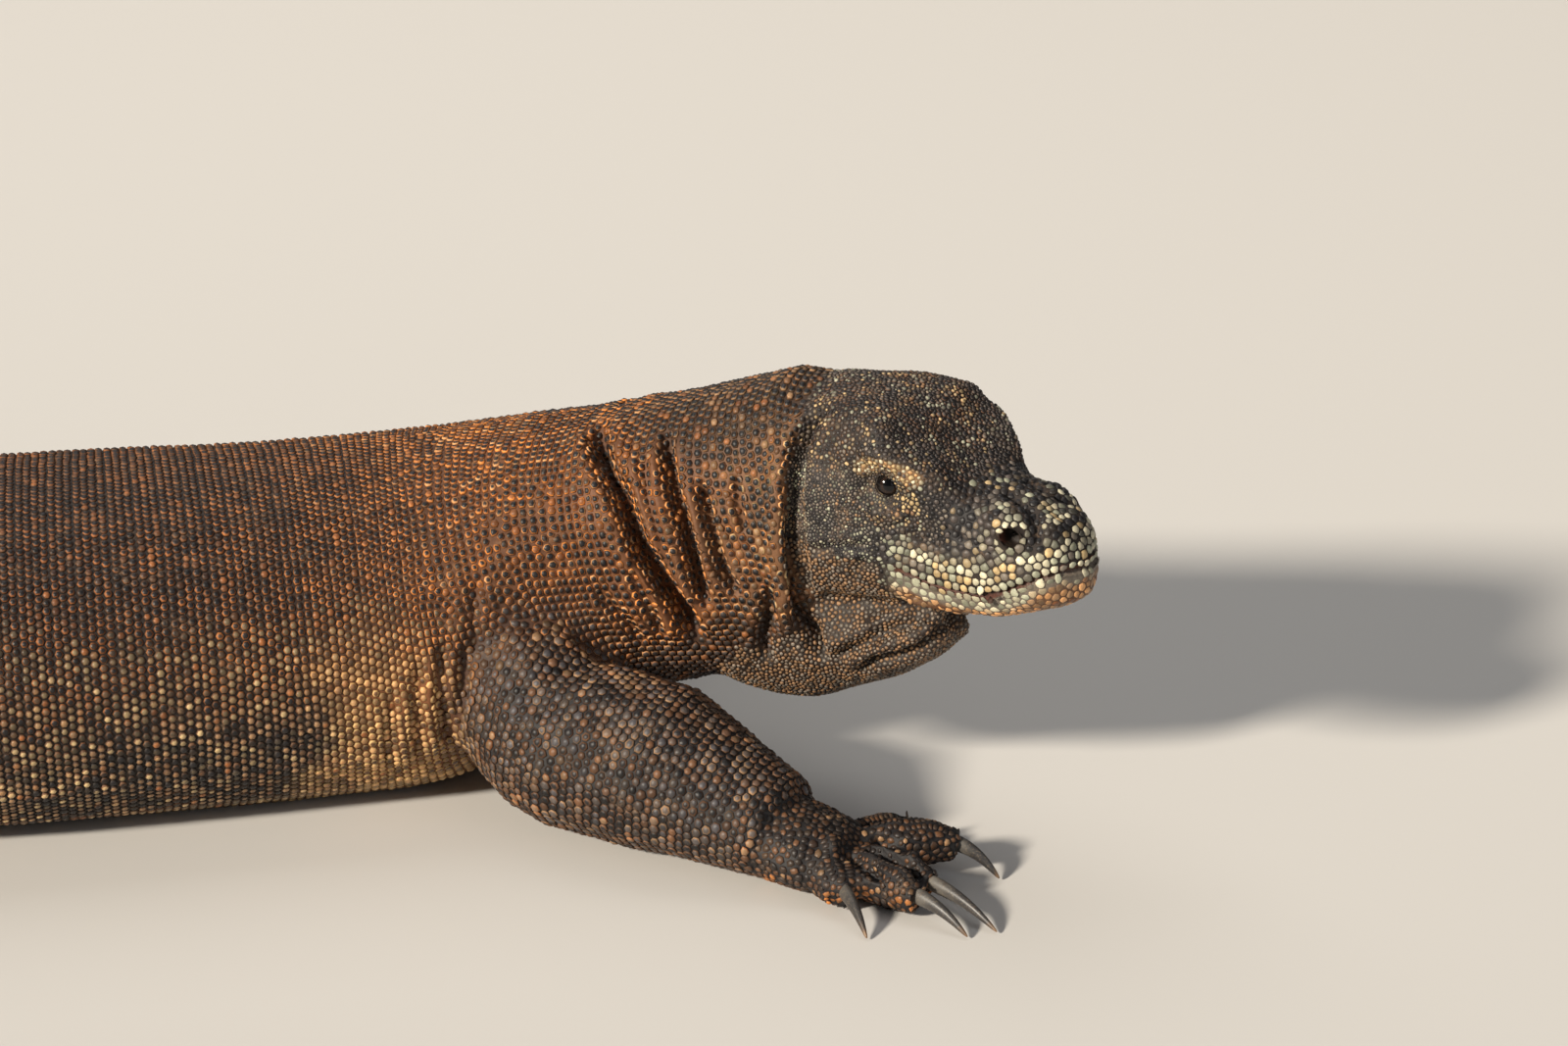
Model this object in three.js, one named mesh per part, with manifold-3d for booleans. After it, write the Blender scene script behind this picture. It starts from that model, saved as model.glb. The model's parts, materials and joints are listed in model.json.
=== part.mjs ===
// A komodo dragon, life size, lying on its belly with its head raised and turned to its right.
// Millimetres, +X towards the head, +Y to the animal's left, +Z up. Origin: middle of the
// bounding box, on the floor.
import * as THREE from "three";
import { mergeVertices } from "three/addons/utils/BufferGeometryUtils.js";
import Module from "manifold-3d";

const wasm = await Module();
wasm.setup();

// driving dimensions
const gap = 0.45; // between neighbouring pieces
const jawGap = 0.65; // along the mouth line
const headLength = 232; // back of the skull to snout tip
const eyeRadius = 10;
const orbitRadius = 17; // the hollow round the eye
const orbitOut = 21; // from the eye's middle out to the hollow's
const eyePlace = { x: 90, y: 45, z: 57 }; // in the head's own frame

// facets round each kind of piece
const around = { trunk: 20, limb: 11, toe: 6, claw: 5, head: 24, throat: 14 };
const weld = 1e-3; // points nearer than this are one

const flesh = {
  head: new THREE.MeshStandardMaterial({ color: 0x3d352d, roughness: 0.7, metalness: 0 }),
  jaw: new THREE.MeshStandardMaterial({ color: 0x8d8a6e, roughness: 0.7, metalness: 0 }),
  neck: new THREE.MeshStandardMaterial({ color: 0x8a5528, roughness: 0.75, metalness: 0 }),
  body: new THREE.MeshStandardMaterial({ color: 0x5e3d25, roughness: 0.75, metalness: 0 }),
  limb: new THREE.MeshStandardMaterial({ color: 0x3a2f28, roughness: 0.7, metalness: 0 }),
};
const claw = new THREE.MeshStandardMaterial({ color: 0x33312f, roughness: 0.35, metalness: 0 });
const eyeball = new THREE.MeshStandardMaterial({ color: 0x120d0a, roughness: 0.1, metalness: 0 });

// solids
const V = (x, y, z) => new THREE.Vector3(x, y, z);

function toSolid(geometry) {
  const bare = new THREE.BufferGeometry();
  const flat = geometry.index ? geometry.toNonIndexed() : geometry;
  bare.setAttribute("position", flat.getAttribute("position"));
  const merged = mergeVertices(bare, weld);
  return new wasm.Manifold(
    new wasm.Mesh({
      numProp: 3,
      vertProperties: merged.attributes.position.array,
      triVerts: new Uint32Array(merged.index.array),
    }),
  );
}

// The largest body of a cut, without the slivers that a cut can leave.
function largest(solid) {
  return solid.decompose().reduce((a, b) => (b.volume() > a.volume() ? b : a));
}

function toGeometry(solid) {
  const mesh = solid.getMesh();
  const step = mesh.numProp;
  const points = new Float32Array(mesh.numVert * 3);
  for (let i = 0; i < mesh.numVert; i++)
    points.set(mesh.vertProperties.subarray(i * step, i * step + 3), i * 3);
  const geometry = new THREE.BufferGeometry();
  geometry.setAttribute("position", new THREE.BufferAttribute(points, 3));
  geometry.setIndex(new THREE.BufferAttribute(new Uint32Array(mesh.triVerts), 1));
  geometry.computeVertexNormals();
  return geometry;
}

// A closed skin over rings of points that run the same way round, with a fan at each end.
function loft(rings) {
  const n = rings[0].length;
  const points = rings.flat();
  const mean = (ring) => ring.reduce((a, p) => a.add(p), V(0, 0, 0)).divideScalar(ring.length);
  points.push(mean(rings[0]), mean(rings[rings.length - 1]));
  const first = points.length - 2;
  const last = points.length - 1;
  const index = [];
  for (let r = 0; r + 1 < rings.length; r++)
    for (let i = 0; i < n; i++) {
      const j = (i + 1) % n;
      const a = r * n;
      const b = a + n;
      index.push(a + i, a + j, b + j, a + i, b + j, b + i);
    }
  const end = (rings.length - 1) * n;
  for (let i = 0; i < n; i++) {
    const j = (i + 1) % n;
    index.push(first, j, i, last, end + i, end + j);
  }
  const geometry = new THREE.BufferGeometry().setFromPoints(points);
  geometry.setIndex(index);
  const solid = toSolid(geometry);
  if (solid.volume() > 0) return solid;
  for (let i = 0; i < index.length; i += 3) [index[i], index[i + 1]] = [index[i + 1], index[i]];
  geometry.setIndex(index);
  return toSolid(geometry);
}

// Reads a column of key rows at any place, by a curve through the rows that doesn't overshoot much.
function readKeys(keys, name, t) {
  const rows = keys.filter((k) => k[name] !== undefined);
  if (t <= rows[0].at) return rows[0][name];
  const top = rows[rows.length - 1];
  if (t >= top.at) return top[name];
  const i = rows.findIndex((k) => k.at > t) - 1;
  const slope = (a, b) => (rows[b][name] - rows[a][name]) / (rows[b].at - rows[a].at);
  const here = slope(i, i + 1);
  const tangent = (j) => {
    if (j === 0 || j === rows.length - 1) return here;
    const before = slope(j - 1, j);
    const after = slope(j, j + 1);
    return before * after <= 0 ? 0 : (2 * before * after) / (before + after);
  };
  const h = rows[i + 1].at - rows[i].at;
  const u = (t - rows[i].at) / h;
  const u2 = u * u;
  const u3 = u2 * u;
  return (
    rows[i][name] * (2 * u3 - 3 * u2 + 1) +
    tangent(i) * h * (u3 - 2 * u2 + u) +
    rows[i + 1][name] * (3 * u2 - 2 * u3) +
    tangent(i + 1) * h * (u3 - u2)
  );
}

// A tube along a curve. Key rows give its half width and its heights above and below the curve.
// square 2 is an ellipse, and more than 2 is boxier. Rings stand upright unless tilt is 1.
// What would lie under the floor is flattened on it.
function tube({ path, keys, from = 0, to = 1, steps, facets, grow = 0, tilt = 0 }) {
  const rings = [];
  for (let s = 0; s <= steps; s++) {
    const t = from + ((to - from) * s) / steps;
    const centre = path.getPoint(t);
    const along = path.getTangent(t);
    const flatAlong = V(along.x, along.y, along.z * tilt).normalize();
    const side = V(0, 0, 1).cross(flatAlong).normalize();
    const up = flatAlong.clone().cross(side);
    if (s === 0) centre.addScaledVector(flatAlong, -grow);
    if (s === steps) centre.addScaledVector(flatAlong, grow);
    const half = readKeys(keys, "half", t) + grow;
    const above = readKeys(keys, "above", t) + grow;
    const below = readKeys(keys, "below", t) + grow;
    const power = 2 / (keys.some((k) => k.square) ? readKeys(keys, "square", t) : 2);
    const ring = [];
    for (let i = 0; i < facets; i++) {
      const angle = ((i + 0.5) / facets) * 2 * Math.PI;
      const c = Math.cos(angle);
      const k = Math.sin(angle);
      const x = Math.sign(c) * Math.abs(c) ** power * half;
      const z = Math.sign(k) * Math.abs(k) ** power * (k > 0 ? above : below);
      const p = centre.clone().addScaledVector(side, x).addScaledVector(up, z);
      p.z = Math.max(p.z, -grow);
      ring.push(p);
    }
    rings.push(ring);
  }
  return loft(rings);
}

const curveThrough = (points) =>
  new THREE.CatmullRomCurve3(points.map((p) => V(...p)), false, "centripetal");

// trunk, neck and tail
// The spine runs from inside the head to the tip of the tail.
const spineRows = [
  { p: [44, -66, 226], half: 60, above: 84, below: 96 },
  { p: [4, -38, 212], half: 70, above: 102, below: 114 },
  { p: [-48, -14, 190], half: 78, above: 102, below: 110 },
  { p: [-104, 4, 168], half: 94, above: 104, below: 106 },
  { p: [-166, 18, 144], half: 118, above: 110, below: 120 },
  { p: [-240, 22, 124], half: 136, above: 114, below: 130 },
  { p: [-340, 10, 114], half: 146, above: 116, below: 126 },
  { p: [-460, -8, 112], half: 160, above: 116, below: 126 },
  { p: [-590, -26, 110], half: 170, above: 114, below: 124 },
  { p: [-720, -34, 104], half: 158, above: 110, below: 117 },
  { p: [-840, -28, 94], half: 126, above: 100, below: 105 },
  { p: [-940, -14, 80], half: 96, above: 86, below: 82 },
  { p: [-1060, 12, 68], half: 72, above: 78, below: 70 },
  { p: [-1240, 70, 55], half: 51, above: 64, below: 57 },
  { p: [-1440, 138, 43], half: 36, above: 51, below: 45 },
  { p: [-1640, 176, 33], half: 26, above: 39, below: 35 },
  { p: [-1840, 166, 23], half: 18, above: 28, below: 25 },
  { p: [-2020, 112, 14], half: 11, above: 18, below: 15 },
  { p: [-2150, 38, 8], half: 5, above: 7, below: 9 },
];
const spine = curveThrough(spineRows.map((row) => row.p));
const spineKeys = spineRows.map((row, i) => ({ ...row, at: i / (spineRows.length - 1), square: 2.2 }));

// Where the trunk is parted, as key rows of the spine, with the facet rings of each length.
const lengths = [
  ["neck_front", 0.0, 2.5, 6, flesh.neck],
  ["neck_rear", 2.5, 4.2, 5, flesh.neck],
  ["trunk_chest", 4.2, 6.0, 5, flesh.body],
  ["trunk_belly", 6.0, 8.4, 6, flesh.body],
  ["trunk_hips", 8.4, 10.6, 6, flesh.body],
  ["tail_base", 10.6, 12.3, 5, flesh.body],
  ["tail_upper", 12.3, 13.6, 4, flesh.body],
  ["tail_middle", 13.6, 14.9, 4, flesh.body],
  ["tail_lower", 14.9, 16.3, 4, flesh.body],
  ["tail_tip", 16.3, 18.0, 5, flesh.body],
];
const rowsInSpine = spineRows.length - 1;
const spineLength = spine.getLength();

function spinePiece(first, last, steps, grow = 0) {
  const trim = gap / 2 / spineLength;
  return tube({
    path: spine,
    keys: spineKeys,
    from: first / rowsInSpine + trim,
    to: last / rowsInSpine - trim,
    steps,
    facets: around.trunk,
    grow,
  });
}

// head
const headYaw = THREE.MathUtils.degToRad(-40);
const headPitch = THREE.MathUtils.degToRad(-2);
const headTurn = new THREE.Group();
headTurn.position.set(36, -40, 216);
headTurn.rotation.set(0, -headPitch, headYaw, "ZYX");
headTurn.updateMatrixWorld(true);

// Along the head: crown, ridge over the eye, cheek, lip, jaw edge and throat, as half widths
// and heights above the mouth line.
const headColumns = ["at", "top", "ridge", "ridgeUp", "cheek", "cheekUp", "lip", "jaw", "jawDown", "under"];
const headKeys = [
  [0, 97, 42, 84, 62, 40, 60, 50, -42, -56],
  [24, 104, 46, 92, 68, 42, 64, 51, -39, -53],
  [55, 106, 54, 98, 67, 40, 64, 49, -34, -46],
  [92, 97, 59, 94, 55, 36, 56, 44, -28, -38],
  [116, 82, 54, 80, 49, 31, 50, 39, -25, -33],
  [140, 70, 40, 62, 45, 29, 46, 36, -22, -29],
  [165, 64, 33, 55, 43, 28, 43, 33, -19, -25],
  [190, 60, 31, 50, 40, 26, 39, 29, -16, -22],
  [212, 50, 24, 41, 31, 21, 31, 22, -13, -17],
  [225, 34, 12, 28, 18, 16, 19, 13, -9, -11],
  [headLength, 14, 3, 12, 5, 8, 6, 4, -3, -3],
].map((row) => Object.fromEntries(row.map((value, i) => [headColumns[i], value])));
const headStations = [0, 24, 46, 66, 82, 96, 110, 126, 146, 168, 188, 202, 213, 222, 228, headLength];

function headSection(x, grow = 0) {
  const k = (name) => readKeys(headKeys, name, x);
  const corners = [
    [0, k("under") - grow],
    [k("jaw") + grow, k("jawDown") - grow],
    [k("lip") + grow, 0],
    [k("cheek") + grow, k("cheekUp")],
    [k("ridge") + grow, k("ridgeUp") + grow],
    [0, k("top") + grow],
  ];
  const left = corners.map(([y, z]) => V(x, y, z));
  const right = corners.slice(1, -1).reverse().map(([y, z]) => V(x, -y, z));
  const outline = new THREE.CatmullRomCurve3([...left, ...right], true, "centripetal");
  return outline.getPoints(around.head).slice(0, -1);
}

function headWhole(grow = 0) {
  const back = headStations[0];
  return loft(
    headStations.map((x) => {
      const ring = headSection(x, grow);
      const shift = x === back ? -grow : x === headLength ? grow : 0;
      return ring.map((p) => V(p.x + shift, p.y, p.z));
    }),
  );
}

// The mouth line sags from the snout to its corner, then the cut runs down behind the jaw.
function jawSide(lift) {
  const shape = new THREE.Shape();
  shape.moveTo(headLength + 30, 4 + lift);
  shape.lineTo(headLength - 4, 4 + lift);
  shape.bezierCurveTo(headLength - 40, -9 + lift, 130, -8 + lift, 92, 3 + lift);
  shape.lineTo(42 - lift, -2 + lift);
  shape.lineTo(22 - lift, -90);
  shape.lineTo(headLength + 30, -90);
  shape.closePath();
  const block = new THREE.ExtrudeGeometry(shape, { depth: 240, bevelEnabled: false, curveSegments: 10 });
  block.rotateX(Math.PI / 2);
  block.translate(0, 120, 0);
  return toSolid(block);
}

function ball(radius, place, wide = 12, high = 8) {
  const g = new THREE.SphereGeometry(radius, wide, high);
  g.rotateX(Math.PI / 2);
  g.translate(place.x, place.y, place.z);
  return toSolid(g);
}

const inWorld = (solid, group) => {
  const geometry = toGeometry(solid);
  geometry.applyMatrix4(group.matrixWorld);
  return toSolid(geometry);
};

// throat
// The loose pouch that hangs from the jaw to the front of the neck.
const throatRows = [
  { p: [130, -124, 166], half: 20, above: 14, below: 14 },
  { p: [102, -99, 152], half: 37, above: 24, below: 34 },
  { p: [64, -66, 140], half: 48, above: 42, below: 48 },
  { p: [24, -38, 134], half: 56, above: 50, below: 62 },
  { p: [-24, -20, 136], half: 58, above: 44, below: 56 },
];

function throatSolid(grow = 0) {
  const keys = throatRows.map((row, i) => ({ ...row, at: i / (throatRows.length - 1) }));
  const path = curveThrough(throatRows.map((row) => row.p));
  return tube({ path, keys, steps: 6, facets: around.throat, grow });
}

// legs
// A leg is a row of joints: each has its place and how thick the leg is there.
const legs = {
  front_right: {
    upper: [
      { p: [-190, -20, 116], half: 60, above: 74, below: 66 },
      { p: [-176, -66, 94], half: 60, above: 68, below: 62 },
      { p: [-152, -102, 66], half: 56, above: 60, below: 58 },
    ],
    lower: [
      { p: [-152, -104, 66], half: 56, above: 62, below: 60 },
      { p: [-90, -131, 62], half: 62, above: 63, below: 62 },
      { p: [-40, -158, 46], half: 53, above: 51, below: 46 },
      { p: [4, -185, 34], half: 44, above: 37, below: 34 },
    ],
    foot: { palm: [[4, -184, 30], [30, -200, 25], [56, -214, 19]], halves: [40, 42, 36] },
    toes: [
      { knuckles: [[30, -214, 20], [42, -236, 22], [48, -252, 17]], thick: 14, tip: [62, -290, 2] },
      { knuckles: [[52, -222, 20], [80, -244, 24], [98, -258, 17]], thick: 14, tip: [130, -288, 2] },
      { knuckles: [[56, -212, 22], [86, -226, 26], [108, -240, 19]], thick: 13, tip: [150, -280, 2] },
      { knuckles: [[56, -200, 24], [94, -188, 30], [126, -178, 23]], thick: 15, tip: [154, -194, 2] },
      { knuckles: [[36, -184, 22], [68, -162, 26], [94, -148, 19]], thick: 13, tip: [124, -142, 2] },
    ],
  },
  front_left: {
    upper: [
      { p: [-196, 64, 112], half: 58, above: 72, below: 64 },
      { p: [-206, 122, 90], half: 58, above: 66, below: 60 },
      { p: [-206, 170, 64], half: 54, above: 58, below: 56 },
    ],
    lower: [
      { p: [-206, 170, 62], half: 52, above: 56, below: 54 },
      { p: [-162, 208, 56], half: 55, above: 56, below: 54 },
      { p: [-122, 238, 42], half: 46, above: 46, below: 42 },
      { p: [-86, 262, 31], half: 38, above: 34, below: 30 },
    ],
    foot: { palm: [[-86, 262, 30], [-58, 276, 25], [-30, 288, 19]], halves: [37, 41, 35] },
    toes: [
      { knuckles: [[-62, 300, 20], [-52, 328, 22], [-44, 342, 17]], thick: 14, tip: [-30, 380, 2] },
      { knuckles: [[-36, 300, 20], [-12, 322, 24], [4, 336, 17]], thick: 14, tip: [34, 366, 2] },
      { knuckles: [[-30, 290, 22], [4, 304, 26], [24, 312, 19]], thick: 13, tip: [62, 330, 2] },
      { knuckles: [[-30, 280, 22], [4, 276, 27], [26, 274, 20]], thick: 14, tip: [62, 272, 2] },
      { knuckles: [[-48, 262, 20], [-22, 242, 24], [-4, 232, 17]], thick: 13, tip: [26, 224, 2] },
    ],
  },
};

function hindLeg(side, hipX, hipY, turn) {
  // Placed round the hip: out to the knee, back to the ankle, and the foot forwards and out.
  const at = (forward, out, z) => {
    const c = Math.cos(turn);
    const s = Math.sin(turn);
    return [hipX + forward * c + out * s, hipY + side * (out * c - forward * s), z];
  };
  return {
    upper: [
      { p: at(-14, 20, 94), half: 76, above: 78, below: 70 },
      { p: at(34, 84, 82), half: 72, above: 72, below: 68 },
      { p: at(82, 148, 64), half: 58, above: 60, below: 58 },
    ],
    lower: [
      { p: at(82, 152, 58), half: 50, above: 54, below: 52 },
      { p: at(42, 184, 52), half: 53, above: 54, below: 50 },
      { p: at(-4, 212, 40), half: 43, above: 43, below: 39 },
      { p: at(-44, 234, 29), half: 36, above: 33, below: 28 },
    ],
    foot: { palm: [at(-44, 234, 26), at(-32, 272, 24), at(-2, 304, 19)], halves: [35, 40, 35] },
    toes: [
      { knuckles: [at(-30, 304, 18), at(-34, 336, 21), at(-32, 354, 16)], thick: 12, tip: at(-24, 390, 2) },
      { knuckles: [at(-4, 314, 20), at(14, 350, 26), at(34, 376, 18)], thick: 14, tip: at(62, 408, 2) },
      { knuckles: [at(8, 310, 21), at(42, 332, 26), at(68, 348, 18)], thick: 14, tip: at(104, 370, 2) },
      { knuckles: [at(12, 300, 21), at(48, 308, 25), at(72, 314, 18)], thick: 14, tip: at(110, 326, 2) },
      { knuckles: [at(6, 288, 20), at(34, 284, 23), at(52, 284, 17)], thick: 13, tip: at(84, 288, 2) },
    ],
  };
}
legs.hind_right = hindLeg(-1, -830, -60, THREE.MathUtils.degToRad(-6));
legs.hind_left = hindLeg(1, -830, 6, THREE.MathUtils.degToRad(14));

// One length of a leg, with a ball at its far joint if that one carries the next length.
function legTube(rows, steps, grow = 0, joint = false) {
  const last = rows.length - 1;
  const solid = tube({
    path: curveThrough(rows.map((row) => row.p)),
    keys: rows.map((row, i) => ({ ...row, at: i / last })),
    steps,
    facets: around.limb,
    grow,
    tilt: 1,
  });
  if (!joint) return solid;
  const { p, half } = rows[last];
  return solid.add(ball(Math.min(half, p[2]) + grow, V(...p), around.limb, 8));
}

function footSolid(leg, grow = 0) {
  const { palm, halves } = leg.foot;
  const keys = halves.map((half, i) => ({
    at: i / 2,
    half,
    above: palm[i][2] + [2, 4, 6][i],
    below: palm[i][2] + 2,
  }));
  let foot = tube({ path: curveThrough(palm), keys, steps: 3, facets: around.limb, grow });
  for (const toe of leg.toes) foot = foot.add(toeSolid(toe, leg.foot.palm[1], grow));
  return foot;
}

// A toe arches up over its knuckle and down to a fleshy pad under the root of the claw.
function toeSolid(toe, palm, grow = 0) {
  const root = V(...palm).lerp(V(...toe.knuckles[0]), 0.55);
  const path = curveThrough([root.toArray(), ...toe.knuckles]);
  const keys = [
    { at: 0, half: toe.thick * 1.15, above: toe.thick * 0.9, below: 20 },
    { at: 0.4, half: toe.thick * 1.05, above: toe.thick * 0.9, below: 22 },
    { at: 0.75, half: toe.thick, above: toe.thick * 0.85, below: 24 },
    { at: 1, half: toe.thick * 0.82, above: toe.thick * 0.7, below: 16 },
  ];
  return tube({ path, keys, steps: 4, facets: around.toe, grow, tilt: 1 });
}

// A claw is a curved horn, deeper than it is wide, that ends in a blunt point on the floor.
function clawSolid(toe, grow = 0) {
  const root = V(...toe.knuckles[2]);
  const tip = V(...toe.tip);
  const back = V(...toe.knuckles[1]).sub(root).setLength(6);
  const bow = root.clone().lerp(tip, 0.5).add(V(0, 0, 9));
  const path = new THREE.QuadraticBezierCurve3(root.clone().add(back), bow, tip);
  const rings = [];
  const steps = 4;
  for (let s = 0; s <= steps; s++) {
    const t = s / steps;
    const centre = path.getPoint(t);
    const along = path.getTangent(t);
    const side = V(0, 0, 1).cross(along).normalize();
    const up = along.clone().cross(side);
    const size = (1 - t) ** 0.75;
    const wide = 1.2 + 5.6 * size + grow;
    const high = 1.4 + 7.2 * size + grow;
    const ring = [];
    for (let i = 0; i < around.claw; i++) {
      const angle = ((i + 0.5) / around.claw) * 2 * Math.PI;
      const p = centre.clone();
      p.addScaledVector(side, Math.cos(angle) * wide).addScaledVector(up, Math.sin(angle) * high);
      p.z = Math.max(p.z, 0);
      ring.push(p);
    }
    rings.push(ring);
  }
  return loft(rings);
}

// putting it together
const dragon = new THREE.Group();
dragon.name = "komodo_dragon";

function addPiece(name, solid, material) {
  const mesh = new THREE.Mesh(toGeometry(solid), material);
  mesh.name = name;
  dragon.add(mesh);
}

// head, parted into skull, lower jaw and eyes
const headSolid = headWhole();
const eyes = [1, -1].map((side) => ({ ...eyePlace, y: side * eyePlace.y }));
let skull = headSolid.subtract(jawSide(jawGap / 2));
let jaw = headSolid.intersect(jawSide(-jawGap / 2));
for (const place of eyes) {
  const orbit = { ...place, y: place.y + Math.sign(place.y) * orbitOut };
  skull = skull.subtract(ball(orbitRadius, orbit)).subtract(ball(eyeRadius + gap, place));
}
skull = inWorld(largest(skull), headTurn);
jaw = inWorld(largest(jaw), headTurn);
addPiece("head", skull, flesh.head);
addPiece("lower_jaw", jaw, flesh.jaw);
addPiece("eye_left", inWorld(ball(eyeRadius, eyes[0]), headTurn), eyeball);
addPiece("eye_right", inWorld(ball(eyeRadius, eyes[1]), headTurn), eyeball);
const headCutter = inWorld(headWhole(gap), headTurn);

// neck, trunk and tail
for (const [name, first, last, steps, material] of lengths) {
  let piece = spinePiece(first, last, steps);
  if (name === "neck_front") piece = largest(piece.subtract(headCutter));
  addPiece(name, piece, material);
}
const throatCutter = headCutter.add(spinePiece(0, 2.5, 6, gap)).add(spinePiece(2.5, 4.2, 5, gap));
addPiece("throat", largest(throatSolid().subtract(throatCutter)), flesh.neck);
const trunkCutter = lengths
  .slice(0, 6)
  .map(([, first, last, steps]) => spinePiece(first, last, steps, gap))
  .reduce((sum, piece) => sum.add(piece))
  .add(throatSolid(gap));

// legs, feet and claws
const names = {
  front: ["upper_arm", "forearm", "hand"],
  hind: ["thigh", "shin", "foot"],
};
for (const [legName, leg] of Object.entries(legs)) {
  const [upper, lower, foot] = names[legName.split("_")[0]];
  const side = legName.split("_")[1];
  const upperSolid = largest(legTube(leg.upper, 4, 0, true).subtract(trunkCutter));
  const upperCutter = legTube(leg.upper, 4, gap, true);
  const lowerSolid = largest(legTube(leg.lower, 5).subtract(upperCutter).subtract(trunkCutter));
  const lowerCutter = legTube(leg.lower, 5, gap);
  let clawCutter = null;
  leg.toes.forEach((toe, i) => {
    const solid = clawSolid(toe);
    addPiece(`claw_${legName}_${i + 1}`, solid, claw);
    const cutter = clawSolid(toe, gap);
    clawCutter = clawCutter ? clawCutter.add(cutter) : cutter;
  });
  const footPiece = largest(footSolid(leg).subtract(lowerCutter).subtract(clawCutter));
  addPiece(`${upper}_${side}`, upperSolid, flesh.limb);
  addPiece(`${lower}_${side}`, lowerSolid, flesh.limb);
  addPiece(`${foot}_${side}`, footPiece, flesh.limb);
}

// the origin: middle of the bounding box, on the floor
const box = new THREE.Box3().setFromObject(dragon);
const middle = box.getCenter(V(0, 0, 0));
dragon.position.set(-middle.x, -middle.y, -box.min.z);

export default dragon;
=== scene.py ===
import json
import math

import bmesh
import bpy
import numpy as np
from mathutils import Matrix, Vector, kdtree, noise
from mathutils.bvhtree import BVHTree

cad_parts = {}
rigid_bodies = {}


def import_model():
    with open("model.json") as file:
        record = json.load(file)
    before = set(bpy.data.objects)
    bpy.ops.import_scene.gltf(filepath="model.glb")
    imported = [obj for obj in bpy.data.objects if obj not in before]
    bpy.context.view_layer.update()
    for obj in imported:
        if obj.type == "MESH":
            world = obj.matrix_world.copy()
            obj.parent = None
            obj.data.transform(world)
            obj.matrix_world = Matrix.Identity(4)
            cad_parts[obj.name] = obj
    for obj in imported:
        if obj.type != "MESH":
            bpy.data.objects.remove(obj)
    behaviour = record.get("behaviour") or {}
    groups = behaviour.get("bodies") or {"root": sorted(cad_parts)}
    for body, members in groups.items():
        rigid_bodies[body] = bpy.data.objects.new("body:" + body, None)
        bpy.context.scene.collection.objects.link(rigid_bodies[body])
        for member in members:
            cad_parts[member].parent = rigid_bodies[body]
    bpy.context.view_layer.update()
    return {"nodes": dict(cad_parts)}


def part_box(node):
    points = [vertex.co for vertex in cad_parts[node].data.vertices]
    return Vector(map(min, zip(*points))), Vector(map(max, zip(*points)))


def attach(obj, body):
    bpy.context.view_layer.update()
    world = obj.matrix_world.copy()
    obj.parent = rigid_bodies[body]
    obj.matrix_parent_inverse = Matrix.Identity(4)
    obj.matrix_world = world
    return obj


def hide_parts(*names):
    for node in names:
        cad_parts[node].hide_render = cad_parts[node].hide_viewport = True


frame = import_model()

mm = 0.001
rng = np.random.default_rng(11)
nodes = frame["nodes"]
eyeNodes = ["eye_right", "eye_left"]
clawNodes = sorted(n for n in nodes if n.startswith("claw_"))
fleshNodes = sorted(n for n in nodes if n not in clawNodes + eyeNodes)
spineNodes = ["neck_front", "neck_rear", "trunk_chest", "trunk_belly", "trunk_hips",
              "tail_base", "tail_upper", "tail_middle", "tail_lower", "tail_tip"]
print("frame loaded:", len(nodes), "nodes")


# small helpers

def boxCentre(node):
    low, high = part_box(node)
    return (low + high) / 2


def unit(vectors):
    return vectors / np.maximum(np.linalg.norm(vectors, axis=-1, keepdims=True), 1e-9)


def readVectors(mesh, key):
    flat = np.empty(len(mesh.vertices) * 3, np.float32)
    mesh.vertices.foreach_get(key, flat)
    return flat.reshape(-1, 3).astype(float)


def setCoords(mesh, coords):
    mesh.vertices.foreach_set("co", np.ascontiguousarray(coords, np.float32).ravel())
    mesh.update()


def addAttribute(mesh, name, values):
    layer = mesh.attributes.new(name, "FLOAT", "POINT")
    layer.data.foreach_set("value", np.ascontiguousarray(values, np.float32))


def addObject(name, data):
    piece = bpy.data.objects.new(name, data)
    bpy.context.scene.collection.objects.link(piece)
    return piece


def meshOf(name, bm):
    mesh = bpy.data.meshes.new(name)
    bm.to_mesh(mesh)
    bm.free()
    return mesh


def ramp(low, high, value):
    x = np.clip((value - low) / (high - low), 0, 1)
    return x * x * (3 - 2 * x)


def hump(distance, width):
    return np.exp(-((distance / width) ** 2))


def curveThrough(points, perSpan=12):
    pts = np.array(points, float)
    pts = np.vstack([2 * pts[0] - pts[1], pts, 2 * pts[-1] - pts[-2]])
    t = np.linspace(0, 1, perSpan, endpoint=False)[:, None]
    spans = [
        0.5 * (2 * b + (c - a) * t + (2 * a - 5 * b + 4 * c - d) * t**2 + (3 * b - a - 3 * c + d) * t**3)
        for a, b, c, d in zip(pts, pts[1:], pts[2:], pts[3:])
    ]
    return np.vstack(spans + [pts[-2:-1]])


# how far along a line each of its points lies
def lengthsOf(line):
    return np.concatenate([[0], np.cumsum(np.linalg.norm(np.diff(line, axis=0), axis=1))])


def pointsAt(line, lengths, at):
    return np.stack([np.interp(at, lengths, line[:, k]) for k in range(3)], axis=-1)


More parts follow.
